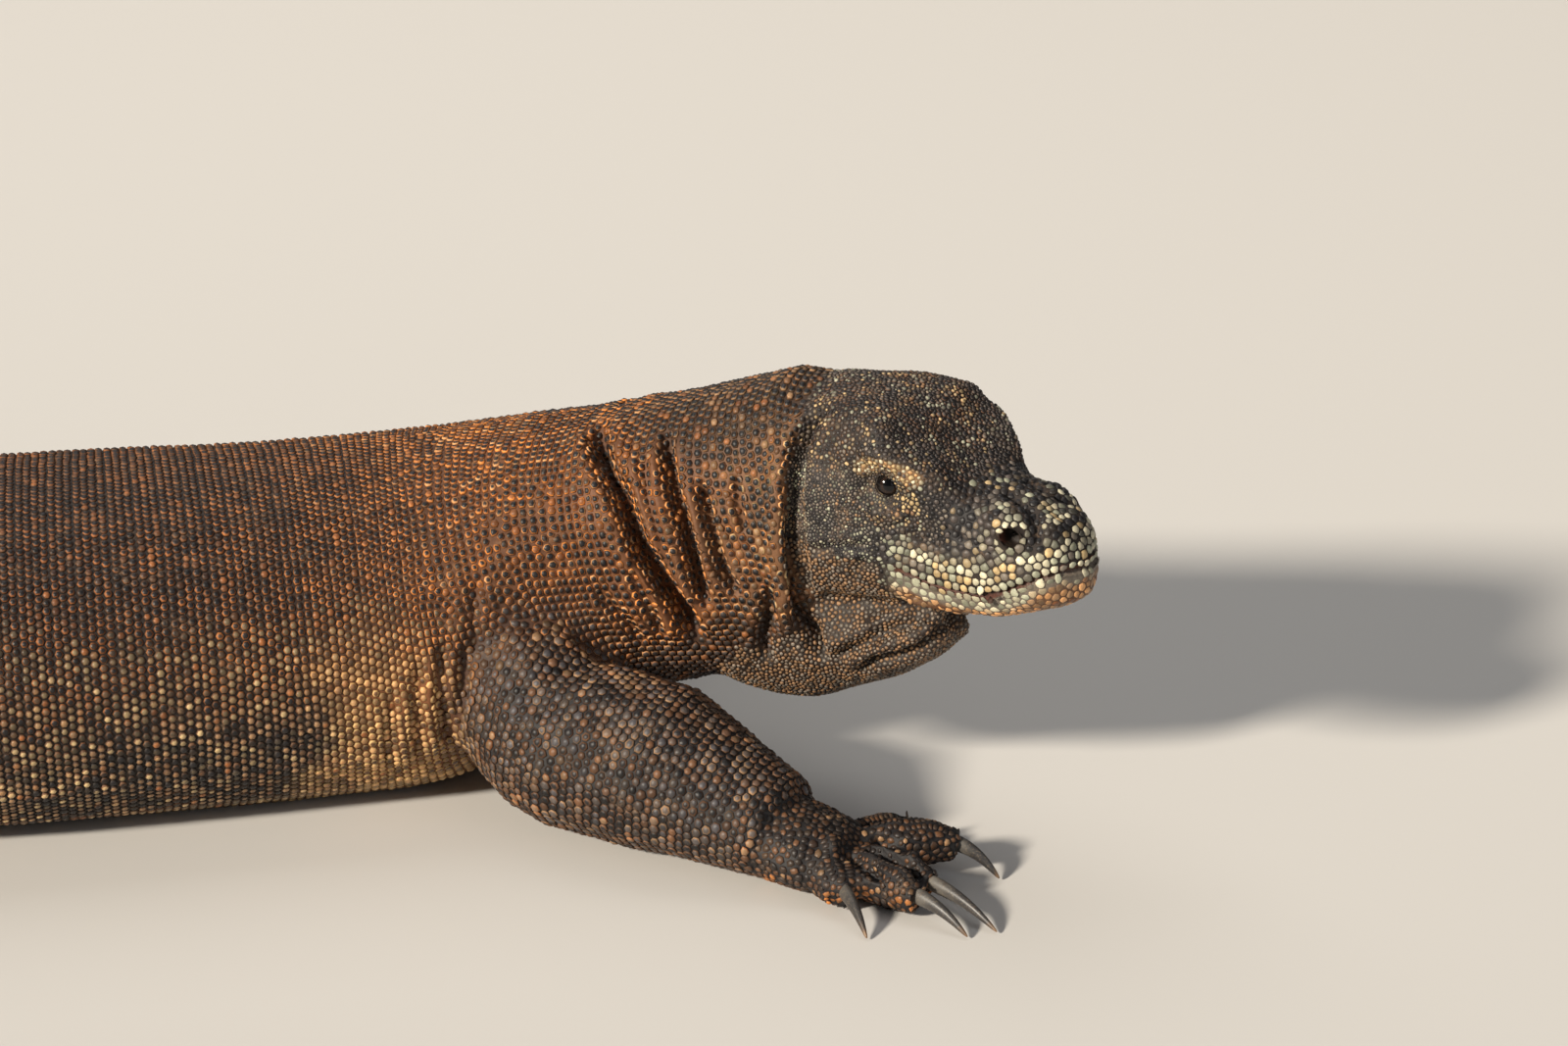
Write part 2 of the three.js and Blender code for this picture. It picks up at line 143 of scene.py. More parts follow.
# the middle line of a length of the body, with its right and upward directions
class BodyPath:
    def __init__(self, points):
        self.line = curveThrough(points)
        self.at = lengthsOf(self.line)
        self.length = self.at[-1]

    def place(self, s):
        return pointsAt(self.line, self.at, s)

    def frameAt(self, s):
        ahead = unit(self.place(s + 8 * mm) - self.place(s - 8 * mm))
        right = unit(np.cross([0, 0, 1], ahead))
        return self.place(s), ahead, right, np.cross(ahead, right)

    # how far along and round the path points lie, with the angle from the top to the right
    def coordinates(self, points):
        nearest = np.empty(len(points), int)
        for first in range(0, len(points), 20000):
            block = points[first:first + 20000]
            nearest[first:first + 20000] = ((block[:, None] - self.line[None]) ** 2).sum(2).argmin(1)
        centre, ahead, right, up = self.frameAt(self.at[nearest])
        offset = points - centre
        along = self.at[nearest] + (offset * ahead).sum(1)
        return along, np.arctan2((offset * right).sum(1), (offset * up).sum(1))


# the head's own frame: forwards, to its left and up, with its origin behind the mouth corner
headSet = {"noseDown": 2, "eyeAhead": 90 * mm, "eyeUp": 57 * mm}
eyeCentres = [boxCentre(n) for n in eyeNodes]
headLeft = (eyeCentres[1] - eyeCentres[0]).normalized()
headAhead = headLeft.cross(Vector((0, 0, 1)))
headAhead.rotate(Matrix.Rotation(math.radians(headSet["noseDown"]), 3, headLeft))
headUp = headAhead.cross(headLeft)
headAxes = np.array([headAhead, headLeft, headUp])
headOrigin = np.array((eyeCentres[0] + eyeCentres[1]) / 2)
headOrigin -= headSet["eyeAhead"] * headAxes[0] + headSet["eyeUp"] * headAxes[2]


def inHead(points):
    return (np.asarray(points) - headOrigin) @ headAxes.T


def fromHead(points):
    return np.asarray(points) @ headAxes + headOrigin


tailTip = readVectors(nodes["tail_tip"].data, "co")
tailTip = tailTip[tailTip[:, 0].argmin()]
spineMiddles = [readVectors(nodes[n].data, "co").mean(0) for n in spineNodes]
spine = BodyPath([fromHead([60 * mm, 0, 30 * mm]), *spineMiddles, tailTip])


# one closed surface over all the flesh nodes and the eyes, in even quads
skinSet = {
    "swell": 0.7 * mm,  # closes the cuts between the nodes
    "voxel": 4.5 * mm,
    "evenPasses": 140,
    "footEvening": 0.25,
}


def fleshVolume():
    whole = bmesh.new()
    for name in fleshNodes + eyeNodes:
        part = bmesh.new()
        part.from_mesh(nodes[name].data)
        bmesh.ops.remove_doubles(part, verts=part.verts, dist=0.01 * mm)
        part.normal_update()
        for vert in part.verts:
            vert.co += vert.normal * skinSet["swell"] * min(vert.calc_shell_factor(), 1.5)
        mesh = meshOf(name + "_copy", part)
        whole.from_mesh(mesh)
        bpy.data.meshes.remove(mesh)
    return meshOf("flesh", whole)


def remeshed(volume):
    piece = addObject("flesh", volume)
    remesh = piece.modifiers.new("even", "REMESH")
    remesh.mode = "VOXEL"
    remesh.voxel_size = skinSet["voxel"]
    shape = piece.evaluated_get(bpy.context.evaluated_depsgraph_get())
    mesh = bpy.data.meshes.new_from_object(shape)
    bpy.data.objects.remove(piece)
    return mesh


def edgesOf(mesh):
    flat = np.empty(len(mesh.edges) * 2, np.int32)
    mesh.edges.foreach_get("vertices", flat)
    return flat.reshape(-1, 2)


# Moves each point towards the middle of its neighbours, and back by pull, which keeps the volume.
def relax(coords, edges, passes, push=0.5, pull=-0.53, weight=1.0):
    total = len(coords)
    links = np.maximum(np.bincount(edges.ravel(), minlength=total), 1)[:, None]
    weight = np.broadcast_to(weight, total)[:, None]
    a, b = edges.T
    for _ in range(passes):
        for amount in (push, pull):
            if not amount:
                continue
            middle = np.stack([
                np.bincount(a, coords[b, k], total) + np.bincount(b, coords[a, k], total)
                for k in range(3)
            ], axis=1) / links
            coords = coords + amount * weight * (middle - coords)
    return coords


def refine(mesh, wanted):
    bm = bmesh.new()
    bm.from_mesh(mesh)
    bm.verts.ensure_lookup_table()
    edges = [e for e in bm.edges if wanted[e.verts[0].index] and wanted[e.verts[1].index]]
    bmesh.ops.subdivide_edges(bm, edges=edges, cuts=1, use_grid_fill=True)
    bm.to_mesh(mesh)
    bm.free()


# a search tree of several nodes, and which of them each of its faces belongs to
def treeAndOwners(names):
    corners, faces, owners = [], [], []
    for number, name in enumerate(names):
        mesh = nodes[name].data
        faces += [[len(corners) + i for i in p.vertices] for p in mesh.polygons]
        owners += [number] * len(mesh.polygons)
        corners += [v.co.copy() for v in mesh.vertices]
    return BVHTree.FromPolygons(corners, faces), owners


def treeOf(names):
    return treeAndOwners(names)[0]


fleshTree, fleshOwners = treeAndOwners(fleshNodes)
spineTree = treeOf(spineNodes)


# the flesh node nearest to each point
def ownersOf(points):
    return np.array([fleshOwners[fleshTree.find_nearest(Vector(p))[2]] for p in points])


def belongs(owners, *starts):
    wanted = [name.startswith(starts) for name in fleshNodes]
    return np.array(wanted)[owners]


skin = remeshed(fleshVolume())
print("skin volume:", len(skin.vertices), "points")
coords = readVectors(skin, "co")
owners = ownersOf(coords)
evening = np.where(belongs(owners, "hand", "foot"), skinSet["footEvening"], 1.0)
coords = relax(coords, edgesOf(skin), skinSet["evenPasses"], weight=evening)
setCoords(skin, coords)


# how far each point is from the closest of the targets
def nearest(points, targets):
    return np.min([np.linalg.norm(points - t, axis=1) for t in targets], axis=0)


def bothSides(point):
    x, y, z = point
    return [np.array((x, -y, z)), np.array((x, y, z))]


def mirrored(points):
    return [(x, -y, z) for x, y, z in points]


# millimetres in the head's frame; the right side is given and the left one mirrors it
headMarks = {
    "nostril": (189, 36, 43),
    "mouth": [(236, 1, 25), (230, 15, 24), (213, 31, 19), (192, 39, 7), (170, 42, -4),
              (142, 46, -6), (120, 50, -4), (103, 54, 0)],
}
eyeSpots = [fromHead(p * mm) for p in bothSides((90, 45, 57))]
nostrilSpots = [p * mm for p in bothSides(headMarks["nostril"])]


# Finer quads where the folds, the lids, the nostrils and the mouth go, in three steps:
# millimetres round the eyes, the nostrils and the lips, and the smoothing after each step.
fineSet = {
    "neckEnds": 0.24,
    "eyes": (0, 22, 15),
    "nostrils": (0, 16, 9),
    "lips": 6,
    "passes": (6, 3, 2),
}


def fineZones(mesh, step):
    points = readVectors(mesh, "co")
    local = inHead(points)
    if step == 0:
        owned = ownersOf(points)
        along, angle = spine.coordinates(points)
        wanted = belongs(owned, "neck_rear") & (along < fineSet["neckEnds"]) & (angle > 0)
        return wanted | belongs(owned, "head", "lower_jaw", "neck_front", "throat", "hand", "foot")
    wanted = nearest(local, [inHead(e) for e in eyeSpots]) < fineSet["eyes"][step] * mm
    wanted |= nearest(local, nostrilSpots) < fineSet["nostrils"][step] * mm
    if step == 1:
        line = curveThrough(headMarks["mouth"]) * mm
        wanted |= nearest(local * (1, 0, 1) + np.abs(local) * (0, 1, 0), line[::3]) < fineSet["lips"] * mm
    return wanted


for step, passes in enumerate(fineSet["passes"]):
    refine(skin, fineZones(skin, step))
    points = readVectors(skin, "co")
    weight = fineZones(skin, step).astype(float)
    setCoords(skin, relax(points, edgesOf(skin), passes, weight=weight))
print("skin refined:", len(skin.vertices), "points")


# the surface is shaped by moving its points along their normals
class Sculpt:
    def __init__(self, mesh):
        self.mesh = mesh
        self.points = readVectors(mesh, "co")
        self.normals = readVectors(mesh, "normal")
        self.tree = BVHTree.FromPolygons([Vector(p) for p in self.points],
                                         [p.vertices[:] for p in mesh.polygons])
        self.rise = np.zeros(len(self.points))
        self.shift = np.zeros_like(self.points)

    def onSkin(self, point):
        return np.array(self.tree.find_nearest(Vector(point))[0])

    # a line on the skin through points of the head's frame, or along and round the spine
    def headLine(self, line):
        return np.array([self.onSkin(fromHead(p)) for p in curveThrough(np.array(line) * mm, 8)])

    def spineLine(self, line):
        found = []
        for along, angle in curveThrough(line, 8):
            centre, _, right, up = spine.frameAt(along)
            out = up * math.cos(math.radians(angle)) + right * math.sin(math.radians(angle))
            hit = spineTree.ray_cast(Vector(centre + out * 0.3), Vector(-out), 0.3)[0]
            if hit is not None:
                place, _, _, away = self.tree.find_nearest(hit)
                if away < 14 * mm:
                    found.append(np.array(place))
        return np.array(found)

    # distance from a line, and how far along it from 0 to 1, for the points near it
    def nearLine(self, line, reach):
        low, high = line.min(0) - reach, line.max(0) + reach
        near = np.flatnonzero(((self.points > low) & (self.points < high)).all(1))
        points = self.points[near]
        best = np.full(len(near), 1e9)
        place = np.zeros(len(near))
        for i, (a, b) in enumerate(zip(line, line[1:])):
            span = b - a
            t = np.clip(((points - a) @ span) / max(span @ span, 1e-12), 0, 1)
            away = np.linalg.norm(points - a - t[:, None] * span, axis=1)
            closer = away < best
            best[closer] = away[closer]
            place[closer] = (i + t[closer]) / (len(line) - 1)
        return near, best, place

    def crease(self, line, depth, width, lip=0.0, fade=0.15):
        if len(line) < 4:
            return
        near, away, place = self.nearLine(line, 5 * width * mm)
        ends = ramp(0, fade, place) * ramp(0, fade, 1 - place)
        away = away / mm
        cut = -depth * np.maximum(1 - away / (1.6 * width), 0) ** 1.6
        swell = lip * hump(away - 2.3 * width, 1.3 * width)
        self.rise[near] += (cut + swell) * ends * mm

    def ridge(self, line, height, width, fade=0.2):
        near, away, place = self.nearLine(line, 3 * width * mm)
        ends = ramp(0, fade, place) * ramp(0, fade, 1 - place)
        self.rise[near] += height * hump(away / mm, width) * ends * mm

    def bump(self, centre, height, radius):
        away = np.linalg.norm(self.points - centre, axis=1) / mm
        self.rise += height * hump(away, radius) * mm

    def apply(self):
        self.points += self.normals * self.rise[:, None] + self.shift
        setCoords(self.mesh, self.points)
        self.__init__(self.mesh)


# folds: a line, then depth, width and the height of the lips beside it, in millimetres
# on the body: metres along the spine from the skull, degrees from the top towards the right side
openFolds = {"depth": 0.55, "lip": 0.5}  # the neck bends away from the left side, so its folds open
neckFolds = [
    ([(0.200, 5), (0.186, 28), (0.167, 52), (0.163, 75), (0.158, 100), (0.155, 122),
      (0.158, 146)], 21, 6.2, 3.6),
    ([(0.137, 18), (0.131, 45), (0.129, 72), (0.133, 100), (0.136, 124)], 15, 4.4, 2.2),
    ([(0.110, 46), (0.111, 70), (0.114, 100), (0.111, 122)], 11, 3.8, 1.8),
    ([(0.085, 48), (0.088, 66), (0.090, 82)], 5.5, 3, 1.2),
    ([(0.089, 118), (0.100, 138), (0.115, 152), (0.120, 168)], 8, 5, 2.5),
    ([(0.150, 30), (0.148, 55), (0.146, 80), (0.147, 98)], 3, 3, 1.2),
    ([(0.176, 84), (0.174, 105), (0.178, 128)], 5, 4, 2.0),
    ([(0.205, 88), (0.196, 108), (0.194, 128)], 4, 4, 1.5),
]
trunkFolds = [
    ([(0.335, 84), (0.343, 100), (0.345, 120)], 4, 4, 1.5),
    ([(0.352, 80), (0.362, 98), (0.366, 122)], 4.5, 4, 1.8),
    ([(0.374, 84), (0.384, 102), (0.388, 124)], 3.5, 4, 1.5),
    ([(0.300, 66), (0.318, 78), (0.330, 92)], 3, 4, 1.2),
    ([(0.400, 92), (0.408, 108), (0.412, 124)], 2.5, 4, 1.0),
    ([(0.770, 96), (0.782, 112), (0.786, 126)], 3.5, 5, 1.5),
    ([(0.800, 88), (0.812, 106), (0.816, 124)], 4.5, 5, 1.8),
    ([(1.020, 70), (1.015, 92), (1.010, 112)], 3.5, 5, 1.5),
    ([(1.060, 60), (1.058, 90), (1.052, 118)], 3, 5, 1.2),
]
snoutGroove = [(162, 12, 68), (176, 13, 63), (190, 15, 58), (201, 22, 49), (206, 27, 40)]
headFolds = [
    ([(34, 40, 99), (26, 52, 84), (23, 60, 68), (26, 68, 34), (27, 70, 4), (28, 62, -40),
      (34, 51, -79), (44, 44, -94)], 15, 6, 3.5),
    ([(33, 62, -8), (31, 54, -46)], 4, 3, 1.5),
    ([(34, 65, 0), (48, 65, 2), (64, 64, 8), (88, 58, 13)], 3.2, 3, 1.6),
    ([(44, 46, -90), (72, 43, -69), (88, 38, -55), (110, 27, -43)], 7, 4, 2.5),
    ([(58, 36, -100), (76, 37, -82), (98, 31, -72), (118, 24, -57), (130, 12, -46)], 7, 4, 2.5),
    ([(106, 49, -24), (128, 38, -28), (142, 20, -33)], 4, 3, 1.5),
    ([(84, 57, 4), (76, 60, -6), (70, 60, -18)], 2, 3, 0.8),
    (snoutGroove, 4.5, 3.6, 0.8),
    ([(138, 46, 42), (150, 45, 35), (168, 42, 33), (184, 40, 31)], 2.4, 1.6, 0.8),
    ([(80, 55, 41), (90, 55, 36), (101, 54, 38), (110, 52, 46)], 1.4, 1.6, 0.5),
    ([(74, 57, 42), (88, 57, 29), (106, 54, 33), (118, 50, 44)], 1.4, 2.0, 0.6),
    ([(70, 60, 66), (80, 59, 72), (96, 57, 74), (110, 51, 70)], 1.6, 1.8, 0.6),
]


def shapeFolds(sculpt):
    for line, depth, width, lip in neckFolds + trunkFolds:
        sculpt.crease(sculpt.spineLine(line), depth, width, lip)
        left = sculpt.spineLine([(along, -angle) for along, angle in line])
        sculpt.crease(left, depth * openFolds["depth"], width, lip * openFolds["lip"])
    for line, *shape in headFolds:
        for half in (line, mirrored(line)):
            sculpt.crease(sculpt.headLine(half), *shape)


# bumps of the head: place, height and radius, in millimetres
headBumps = [
    ((84, 52, 98), 2.0, 9),
    ((99, 42, 96), -4.5, 15),  # the brow falls off to the side
    ((126, 37, 79), 2.5, 9),  # front of the brow
    ((46, 0, 106), 1.5, 30),  # crown and nape
    ((8, 0, 101), 3.5, 20),
    ((-12, 14, 98), 3.0, 18),
    ((128, 14, 88), 1.8, 9),
    ((54, 68, 46), 3.0, 20),  # temple
    ((60, 60, -18), 3.0, 20),  # jaw muscle
    ((82, 40, 100), 2.5, 14),  # over the eye
    ((122, 0, 82), -2.5, 22),  # between the eyes
    ((176, 32, 52), 5.5, 12),  # round the nostril
    ((190, 38, 54), 2.0, 6),
    ((206, 12, 48), 3.0, 9),  # snout tip, beside the groove
    ((150, 30, 60), -2.0, 9),  # hollow behind the nostril
    ((112, 52, 58), -2.0, 11),  # in front of the eye
    ((216, 14, 40), 2.0, 12),  # snout pad
    ((150, 44, 12), 1.5, 14),  # upper lip
    ((200, 0, 62), -1.5, 8),
    ((230, 10, 4), -3.0, 12),  # the chin slopes back
    ((130, 0, -46), -9.0, 13),  # front end of the throat
]
# ridges of the head: a line, height and width
headRidges = [
    ([(74, 60, 78), (84, 62, 82), (99, 60, 83), (114, 52, 80), (132, 42, 71), (146, 36, 64)], 3.4, 5),
    ([(76, 58, 44), (84, 58, 38), (98, 56, 37), (110, 53, 43)], 1.6, 3.5),
]
seamSet = {"depth": 3.4, "width": 1.5, "lip": 0.8, "fade": 0.03}
seamBare = 1.4 * mm


def shapeHead(sculpt):
    for place, height, radius in headBumps:
        for spot in {place, (place[0], -place[1], place[2])}:
            sculpt.bump(sculpt.onSkin(fromHead(np.array(spot) * mm)), height, radius)
    for line, *shape in headRidges:
        for half in (line, mirrored(line)):
            sculpt.ridge(sculpt.headLine(half), *shape)
    half = headMarks["mouth"][1:]
    seam = sculpt.headLine(mirrored(half)[::-1] + headMarks["mouth"][:1] + half)
    sculpt.crease(seam, **seamSet)
    near, away, _ = sculpt.nearLine(seam, 5 * mm)
    bareSkin[near[away < seamBare]] = 1
    lowerJaw(sculpt)


# the lower edge of the jaw: millimetres that it rises, by the distance ahead in the head's frame
jawLift = [(96, 0), (112, -3), (140, -5), (172, -4), (190, 1), (206, 5), (222, 8), (240, 8)]
jawSet = {
    "starts": 96,
    "liftFrom": (2, 24),  # millimetres under the mouth line
    "liftTo": (34, 46),
    "back": 8,  # how far the throat's front end is drawn back
    "backAhead": (110, 130),
    "backUnder": (18, 30),
    "backEnds": 150,
}


def lowerJaw(sculpt):
    local = inHead(sculpt.points) / mm
    ahead, lift = np.array(jawLift).T
    mouth = np.array(sorted(headMarks["mouth"]))
    under = np.interp(local[:, 0], mouth[:, 0], mouth[:, 2]) - local[:, 2]
    lift = np.interp(local[:, 0], ahead, lift) * ramp(*jawSet["liftFrom"], under)
    lift = lift * (1 - ramp(*jawSet["liftTo"], under))
    sculpt.shift += headAxes[2] * (lift * (local[:, 0] > jawSet["starts"]))[:, None] * mm
    back = jawSet["back"] * ramp(*jawSet["backAhead"], local[:, 0]) * ramp(*jawSet["backUnder"], under)
    sculpt.shift -= headAxes[0] * (back * (local[:, 0] < jawSet["backEnds"]))[:, None] * mm


# gaps between the toes, from the foot's middle to between the claws, and the toes' rounded backs
feet = ("hand_right", "hand_left", "foot_right", "foot_left")
toeGaps = {"depth": 11, "width": 3.4, "lip": 0.8, "fade": 0.16}
toeReach = {"gapFrom": 0.42, "gapTo": 1.12, "backFrom": 0.3, "backTo": 0.98}
toeBacks = {"height": 1.6, "width": 6}
knuckles = ((0.55, 2.0, 7), (0.9, 1.5, 7))  # place along the toe, height and radius


def toeLines(foot):
    kind = foot.replace("hand", "claw_front").replace("foot", "claw_hind")
    ankle = np.array(boxCentre(foot.replace("hand", "forearm").replace("foot", "shin")))
    points = readVectors(nodes[foot].data, "co")
    away = np.linalg.norm(points - ankle, axis=1)
    middle = (points[away < np.quantile(away, 0.12)].mean(0) + np.array(boxCentre(foot))) / 2
    roots = []
    for name in sorted(n for n in clawNodes if n.startswith(kind)):
        points = readVectors(nodes[name].data, "co")
        away = np.linalg.norm(points - middle, axis=1)
        roots.append(points[away < np.quantile(away, 0.2)].mean(0))
    roots.sort(key=lambda root: math.atan2(root[1] - middle[1], root[0] - middle[0]))
    return middle, roots


# the skin straight under a spot
def under(tree, spot):
    hit = tree.ray_cast(Vector((spot[0], spot[1], 0.2)), Vector((0, 0, -1)), 0.2)[0]
    return None if hit is None else np.array(hit)


def fromAbove(tree, middle, aim, start, end):
    found = [under(tree, middle + (aim - middle) * t) for t in np.linspace(start, end, 11)]
    return np.array([spot for spot in found if spot is not None])


def shapeToes(sculpt):
    for foot in feet:
        middle, roots = toeLines(foot)
        for one, other in zip(roots, roots[1:]):
            line = fromAbove(sculpt.tree, middle, (one + other) / 2, toeReach["gapFrom"], toeReach["gapTo"])
            sculpt.crease(line, **toeGaps)
        for root in roots:
            line = fromAbove(sculpt.tree, middle, root, toeReach["backFrom"], toeReach["backTo"])
            if len(line) > 3:
                sculpt.ridge(line, **toeBacks)
            for along, height, radius in knuckles:
                spot = under(sculpt.tree, middle + (root - middle) * along)
                if spot is not None:
                    sculpt.bump(spot, height, radius)


nostrilSet = {"depth": 11.0, "floor": 3.0, "edge": 6.0, "rimHeight": 1.6, "rimAt": 8.2, "rimWidth": 2.2}


def shapeNostrils(sculpt):
    for spot in nostrilSpots:
        x, y, z = (inHead(sculpt.points) - inHead(sculpt.onSkin(fromHead(spot)))).T
        away = np.sqrt((x * 0.9 + z * 0.3) ** 2 + y ** 2 + (z * 1.1) ** 2) / mm  # a slanting oval
        hole = -nostrilSet["depth"] * (1 - ramp(nostrilSet["floor"], nostrilSet["edge"], away))
        rim = nostrilSet["rimHeight"] * hump(away - nostrilSet["rimAt"], nostrilSet["rimWidth"])
        sculpt.rise += (hole + rim) * mm
        bareSkin[away < nostrilSet["edge"]] = 1


# The skin passes over the eye. It opens in a slit whose rim is the lids.
lidSet = {
    "lidRadius": 11.4 * mm,
    "inside": 8.6 * mm,
    "openAcross": 52,  # degrees from the line of sight to the corner of the eye
    "openUp": 42,
    "openDown": 42,
    "lookUp": 20,
    "lookAhead": 38,
    "rim": (7, 5),  # degrees inside and outside the slit
    "brim": (0.7 * mm, 9, 7),  # the lid's thicker edge: height, distance and width
    "keep": (52, 95),  # degrees over which the head's own surface takes over
    "blend": (16 * mm, 24 * mm),
    "bare": 14 * mm,
}


def sightOf(side):
    look = math.radians(lidSet["lookAhead"])
    lift = math.radians(lidSet["lookUp"])
    local = (math.sin(look), side * math.cos(look) * math.cos(lift), math.cos(look) * math.sin(lift))
    return unit(np.array(local) @ headAxes)


def shapeLids(sculpt):
    for centre, side in zip(eyeSpots, (-1, 1)):
        sight = sightOf(side)
        across = unit(np.cross(sight, headAxes[2]))
        upward = np.cross(across, sight)
        offset = sculpt.points - centre
        radius = np.linalg.norm(offset, axis=1)
        near = np.flatnonzero(radius < lidSet["blend"][1])
        far = radius[near]
        out = offset[near] / far[:, None]
        x, y, z = out @ across, out @ upward, out @ sight
        polar = np.degrees(np.arccos(np.clip(z, -1, 1)))
        turn = np.arctan2(y, x)
        openUp = np.where(y > 0, lidSet["openUp"], lidSet["openDown"])
        slit = 1 / np.sqrt((np.cos(turn) / lidSet["openAcross"]) ** 2 + (np.sin(turn) / openUp) ** 2)
        rim = ramp(slit - lidSet["rim"][0], slit + lidSet["rim"][1], polar)
        lid = lidSet["inside"] + (lidSet["lidRadius"] - lidSet["inside"]) * rim
        brim, brimAt, brimWidth = lidSet["brim"]
        lid = lid + brim * hump(polar - slit - brimAt, brimWidth)
        keep = ramp(*lidSet["keep"], polar)
        wanted = np.where(z > 0, lid * (1 - keep) + np.maximum(far, lidSet["lidRadius"]) * keep, far)
        blend = 1 - ramp(*lidSet["blend"], far)
        sculpt.shift[near] += out * ((wanted - far) * blend)[:, None]
        bareSkin[near[(polar < slit + lidSet["rim"][1]) & (far < lidSet["bare"])]] = 1


sculpt = Sculpt(skin)
bareSkin = np.zeros(len(skin.vertices))  # 1 in the mouth's line, the nostrils and the lids: no scales
shapeHead(sculpt)
sculpt.apply()
shapeFolds(sculpt)
shapeNostrils(sculpt)
shapeToes(sculpt)
sculpt.apply()
shapeLids(sculpt)
sculpt.apply()
addAttribute(skin, "bareness", bareSkin)
print("skin shaped")


# the finished skin, sunk by the depth of the scales that lie on it
coatSet = {"depth": 1.5 * mm, "sunk": 0.35 * mm, "skinFaces": 190000}


def finishSkin(mesh):
    points = readVectors(mesh, "co") - readVectors(mesh, "normal") * (coatSet["depth"] + skinSet["swell"])
    points[:, 2] = np.maximum(points[:, 2], 0.4 * mm)
    setCoords(mesh, points)
    piece = addObject("skin", mesh)
    triangulate = piece.modifiers.new("triangles", "TRIANGULATE")
    triangulate.min_vertices = 4
    faces = sum(len(p.vertices) - 2 for p in mesh.polygons)
    if faces > coatSet["skinFaces"]:
        thin = piece.modifiers.new("thin", "DECIMATE")
        thin.ratio = coatSet["skinFaces"] / faces
    shape = piece.evaluated_get(bpy.context.evaluated_depsgraph_get())
    thinned = bpy.data.meshes.new_from_object(shape)
    thinned.name = "skin"
    piece.modifiers.clear()
    piece.data = thinned
    thinned.shade_smooth()
    return piece


skinPiece = finishSkin(skin)
skin = skinPiece.data
print("skin piece:", len(skin.polygons), "faces")


# what the scales are set on: the skin's triangles, their owners and smooth normals
class Ground:
    def __init__(self, mesh):
        self.points = readVectors(mesh, "co")
        self.normals = readVectors(mesh, "normal")
        flat = np.empty(len(mesh.polygons) * 3, np.int32)
        mesh.polygons.foreach_get("vertices", flat)
        self.faces = flat.reshape(-1, 3)
        self.tree = BVHTree.FromPolygons([Vector(p) for p in self.points], self.faces.tolist())
        self.owners = ownersOf(self.points)
        bareness = np.empty(len(mesh.vertices), np.float32)
        mesh.attributes["bareness"].data.foreach_get("value", bareness)
        self.bare = bareness[self.faces].mean(1) > 0.5
        corners = self.points[self.faces]
        self.middles = corners.mean(1)
        a, b, c = corners[:, 0], corners[:, 1], corners[:, 2]
        self.areas = np.linalg.norm(np.cross(b - a, c - a), axis=1) / 2

    # the nearest places on the skin, the faces there, and how far away they are
    def settle(self, spots):
        places = np.zeros((len(spots), 3))
        faces = np.zeros(len(spots), int)
        away = np.full(len(spots), 1.0)
        for i, spot in enumerate(spots):
            place, _, face, distance = self.tree.find_nearest(Vector(spot))
            places[i], faces[i], away[i] = place, face, distance
        return places, faces, away

    # smooth normals by each place's nearness to its triangle's corners
    def normalsAt(self, places, faces):
        corners = self.points[self.faces[faces]]
        nearness = 1 / (np.linalg.norm(corners - places[:, None], axis=2) + 0.3 * mm)
        normals = (self.normals[self.faces[faces]] * nearness[:, :, None]).sum(1)
        return unit(normals)

    def scatter(self, faces, count):
        chance = self.areas[faces] / self.areas[faces].sum()
        picked = rng.choice(faces, size=count, p=chance)
        a, b = rng.random((2, count, 1))
        fold = a + b > 1
        a, b = np.where(fold, 1 - a, a), np.where(fold, 1 - b, b)
        first, second, third = self.points[self.faces[picked]].transpose(1, 0, 2)
        return first + a * (second - first) + b * (third - first), picked


ground = Ground(skin)
faceOwners = ground.owners[ground.faces[:, 0]]


# keeps new scales a given distance from those already set
class Spacing:
    def __init__(self, reach, placed):
        self.cell = reach
        self.cells = {}
        for spot in placed:
            self.add(spot)

    def key(self, spot):
        return (int(spot[0] // self.cell), int(spot[1] // self.cell), int(spot[2] // self.cell))

    def add(self, spot):
        self.cells.setdefault(self.key(spot), []).append((spot[0], spot[1], spot[2]))

    def free(self, spot, reach):
        x, y, z = spot
        i, j, k = self.key(spot)
        limit = reach * reach
        for a in (i - 1, i, i + 1):
            for b in (j - 1, j, j + 1):
                for c in (k - 1, k, k + 1):
                    for u, v, w in self.cells.get((a, b, c), ()):
                        if (u - x) ** 2 + (v - y) ** 2 + (w - z) ** 2 < limit:
                            return False
        return True


# zones of scales: millimetres between rows, between neighbours and in height, how round they are,
# the level where the crown's colour begins, and how much their sizes vary
zoneKeys = ("row", "across", "height", "round", "edge", "vary")
zones = {name: dict(zip(zoneKeys, values)) for name, *values in (
    ("trunk", 5.7, 6.2, 2.2, 0.64, 0.70, 0.07),
    ("belly", 7.5, 8.5, 0.9, 0.6, 0.5, 0.05),
    ("neck", 5.8, 6.5, 2.7, 0.68, 0.62, 0.08),
    ("tail", 6.6, 6.6, 1.6, 0.58, 0.66, 0.06),
    ("limb", 6.2, 6.8, 2.1, 0.66, 0.66, 0.13),
    ("foot", 4.4, 4.6, 1.4, 0.92, 0.62, 0.14),
    ("throat", 3.3, 3.3, 1.1, 0.66, 0.5, 0.14),
    ("temple", 2.4, 2.4, 0.8, 0.7, 0.6, 0.25),
    ("skull", 3.2, 3.2, 1.3, 0.8, 0.66, 0.28),
    ("snout", 5.7, 5.7, 1.4, 0.72, 0.3, 0.13),
    ("lip", 5.4, 5.4, 0.6, 0.76, 0.3, 0.1),
    ("lid", 2.2, 2.2, 0.6, 0.7, 0.4, 0.15),
)}
zoneNames = list(zones)
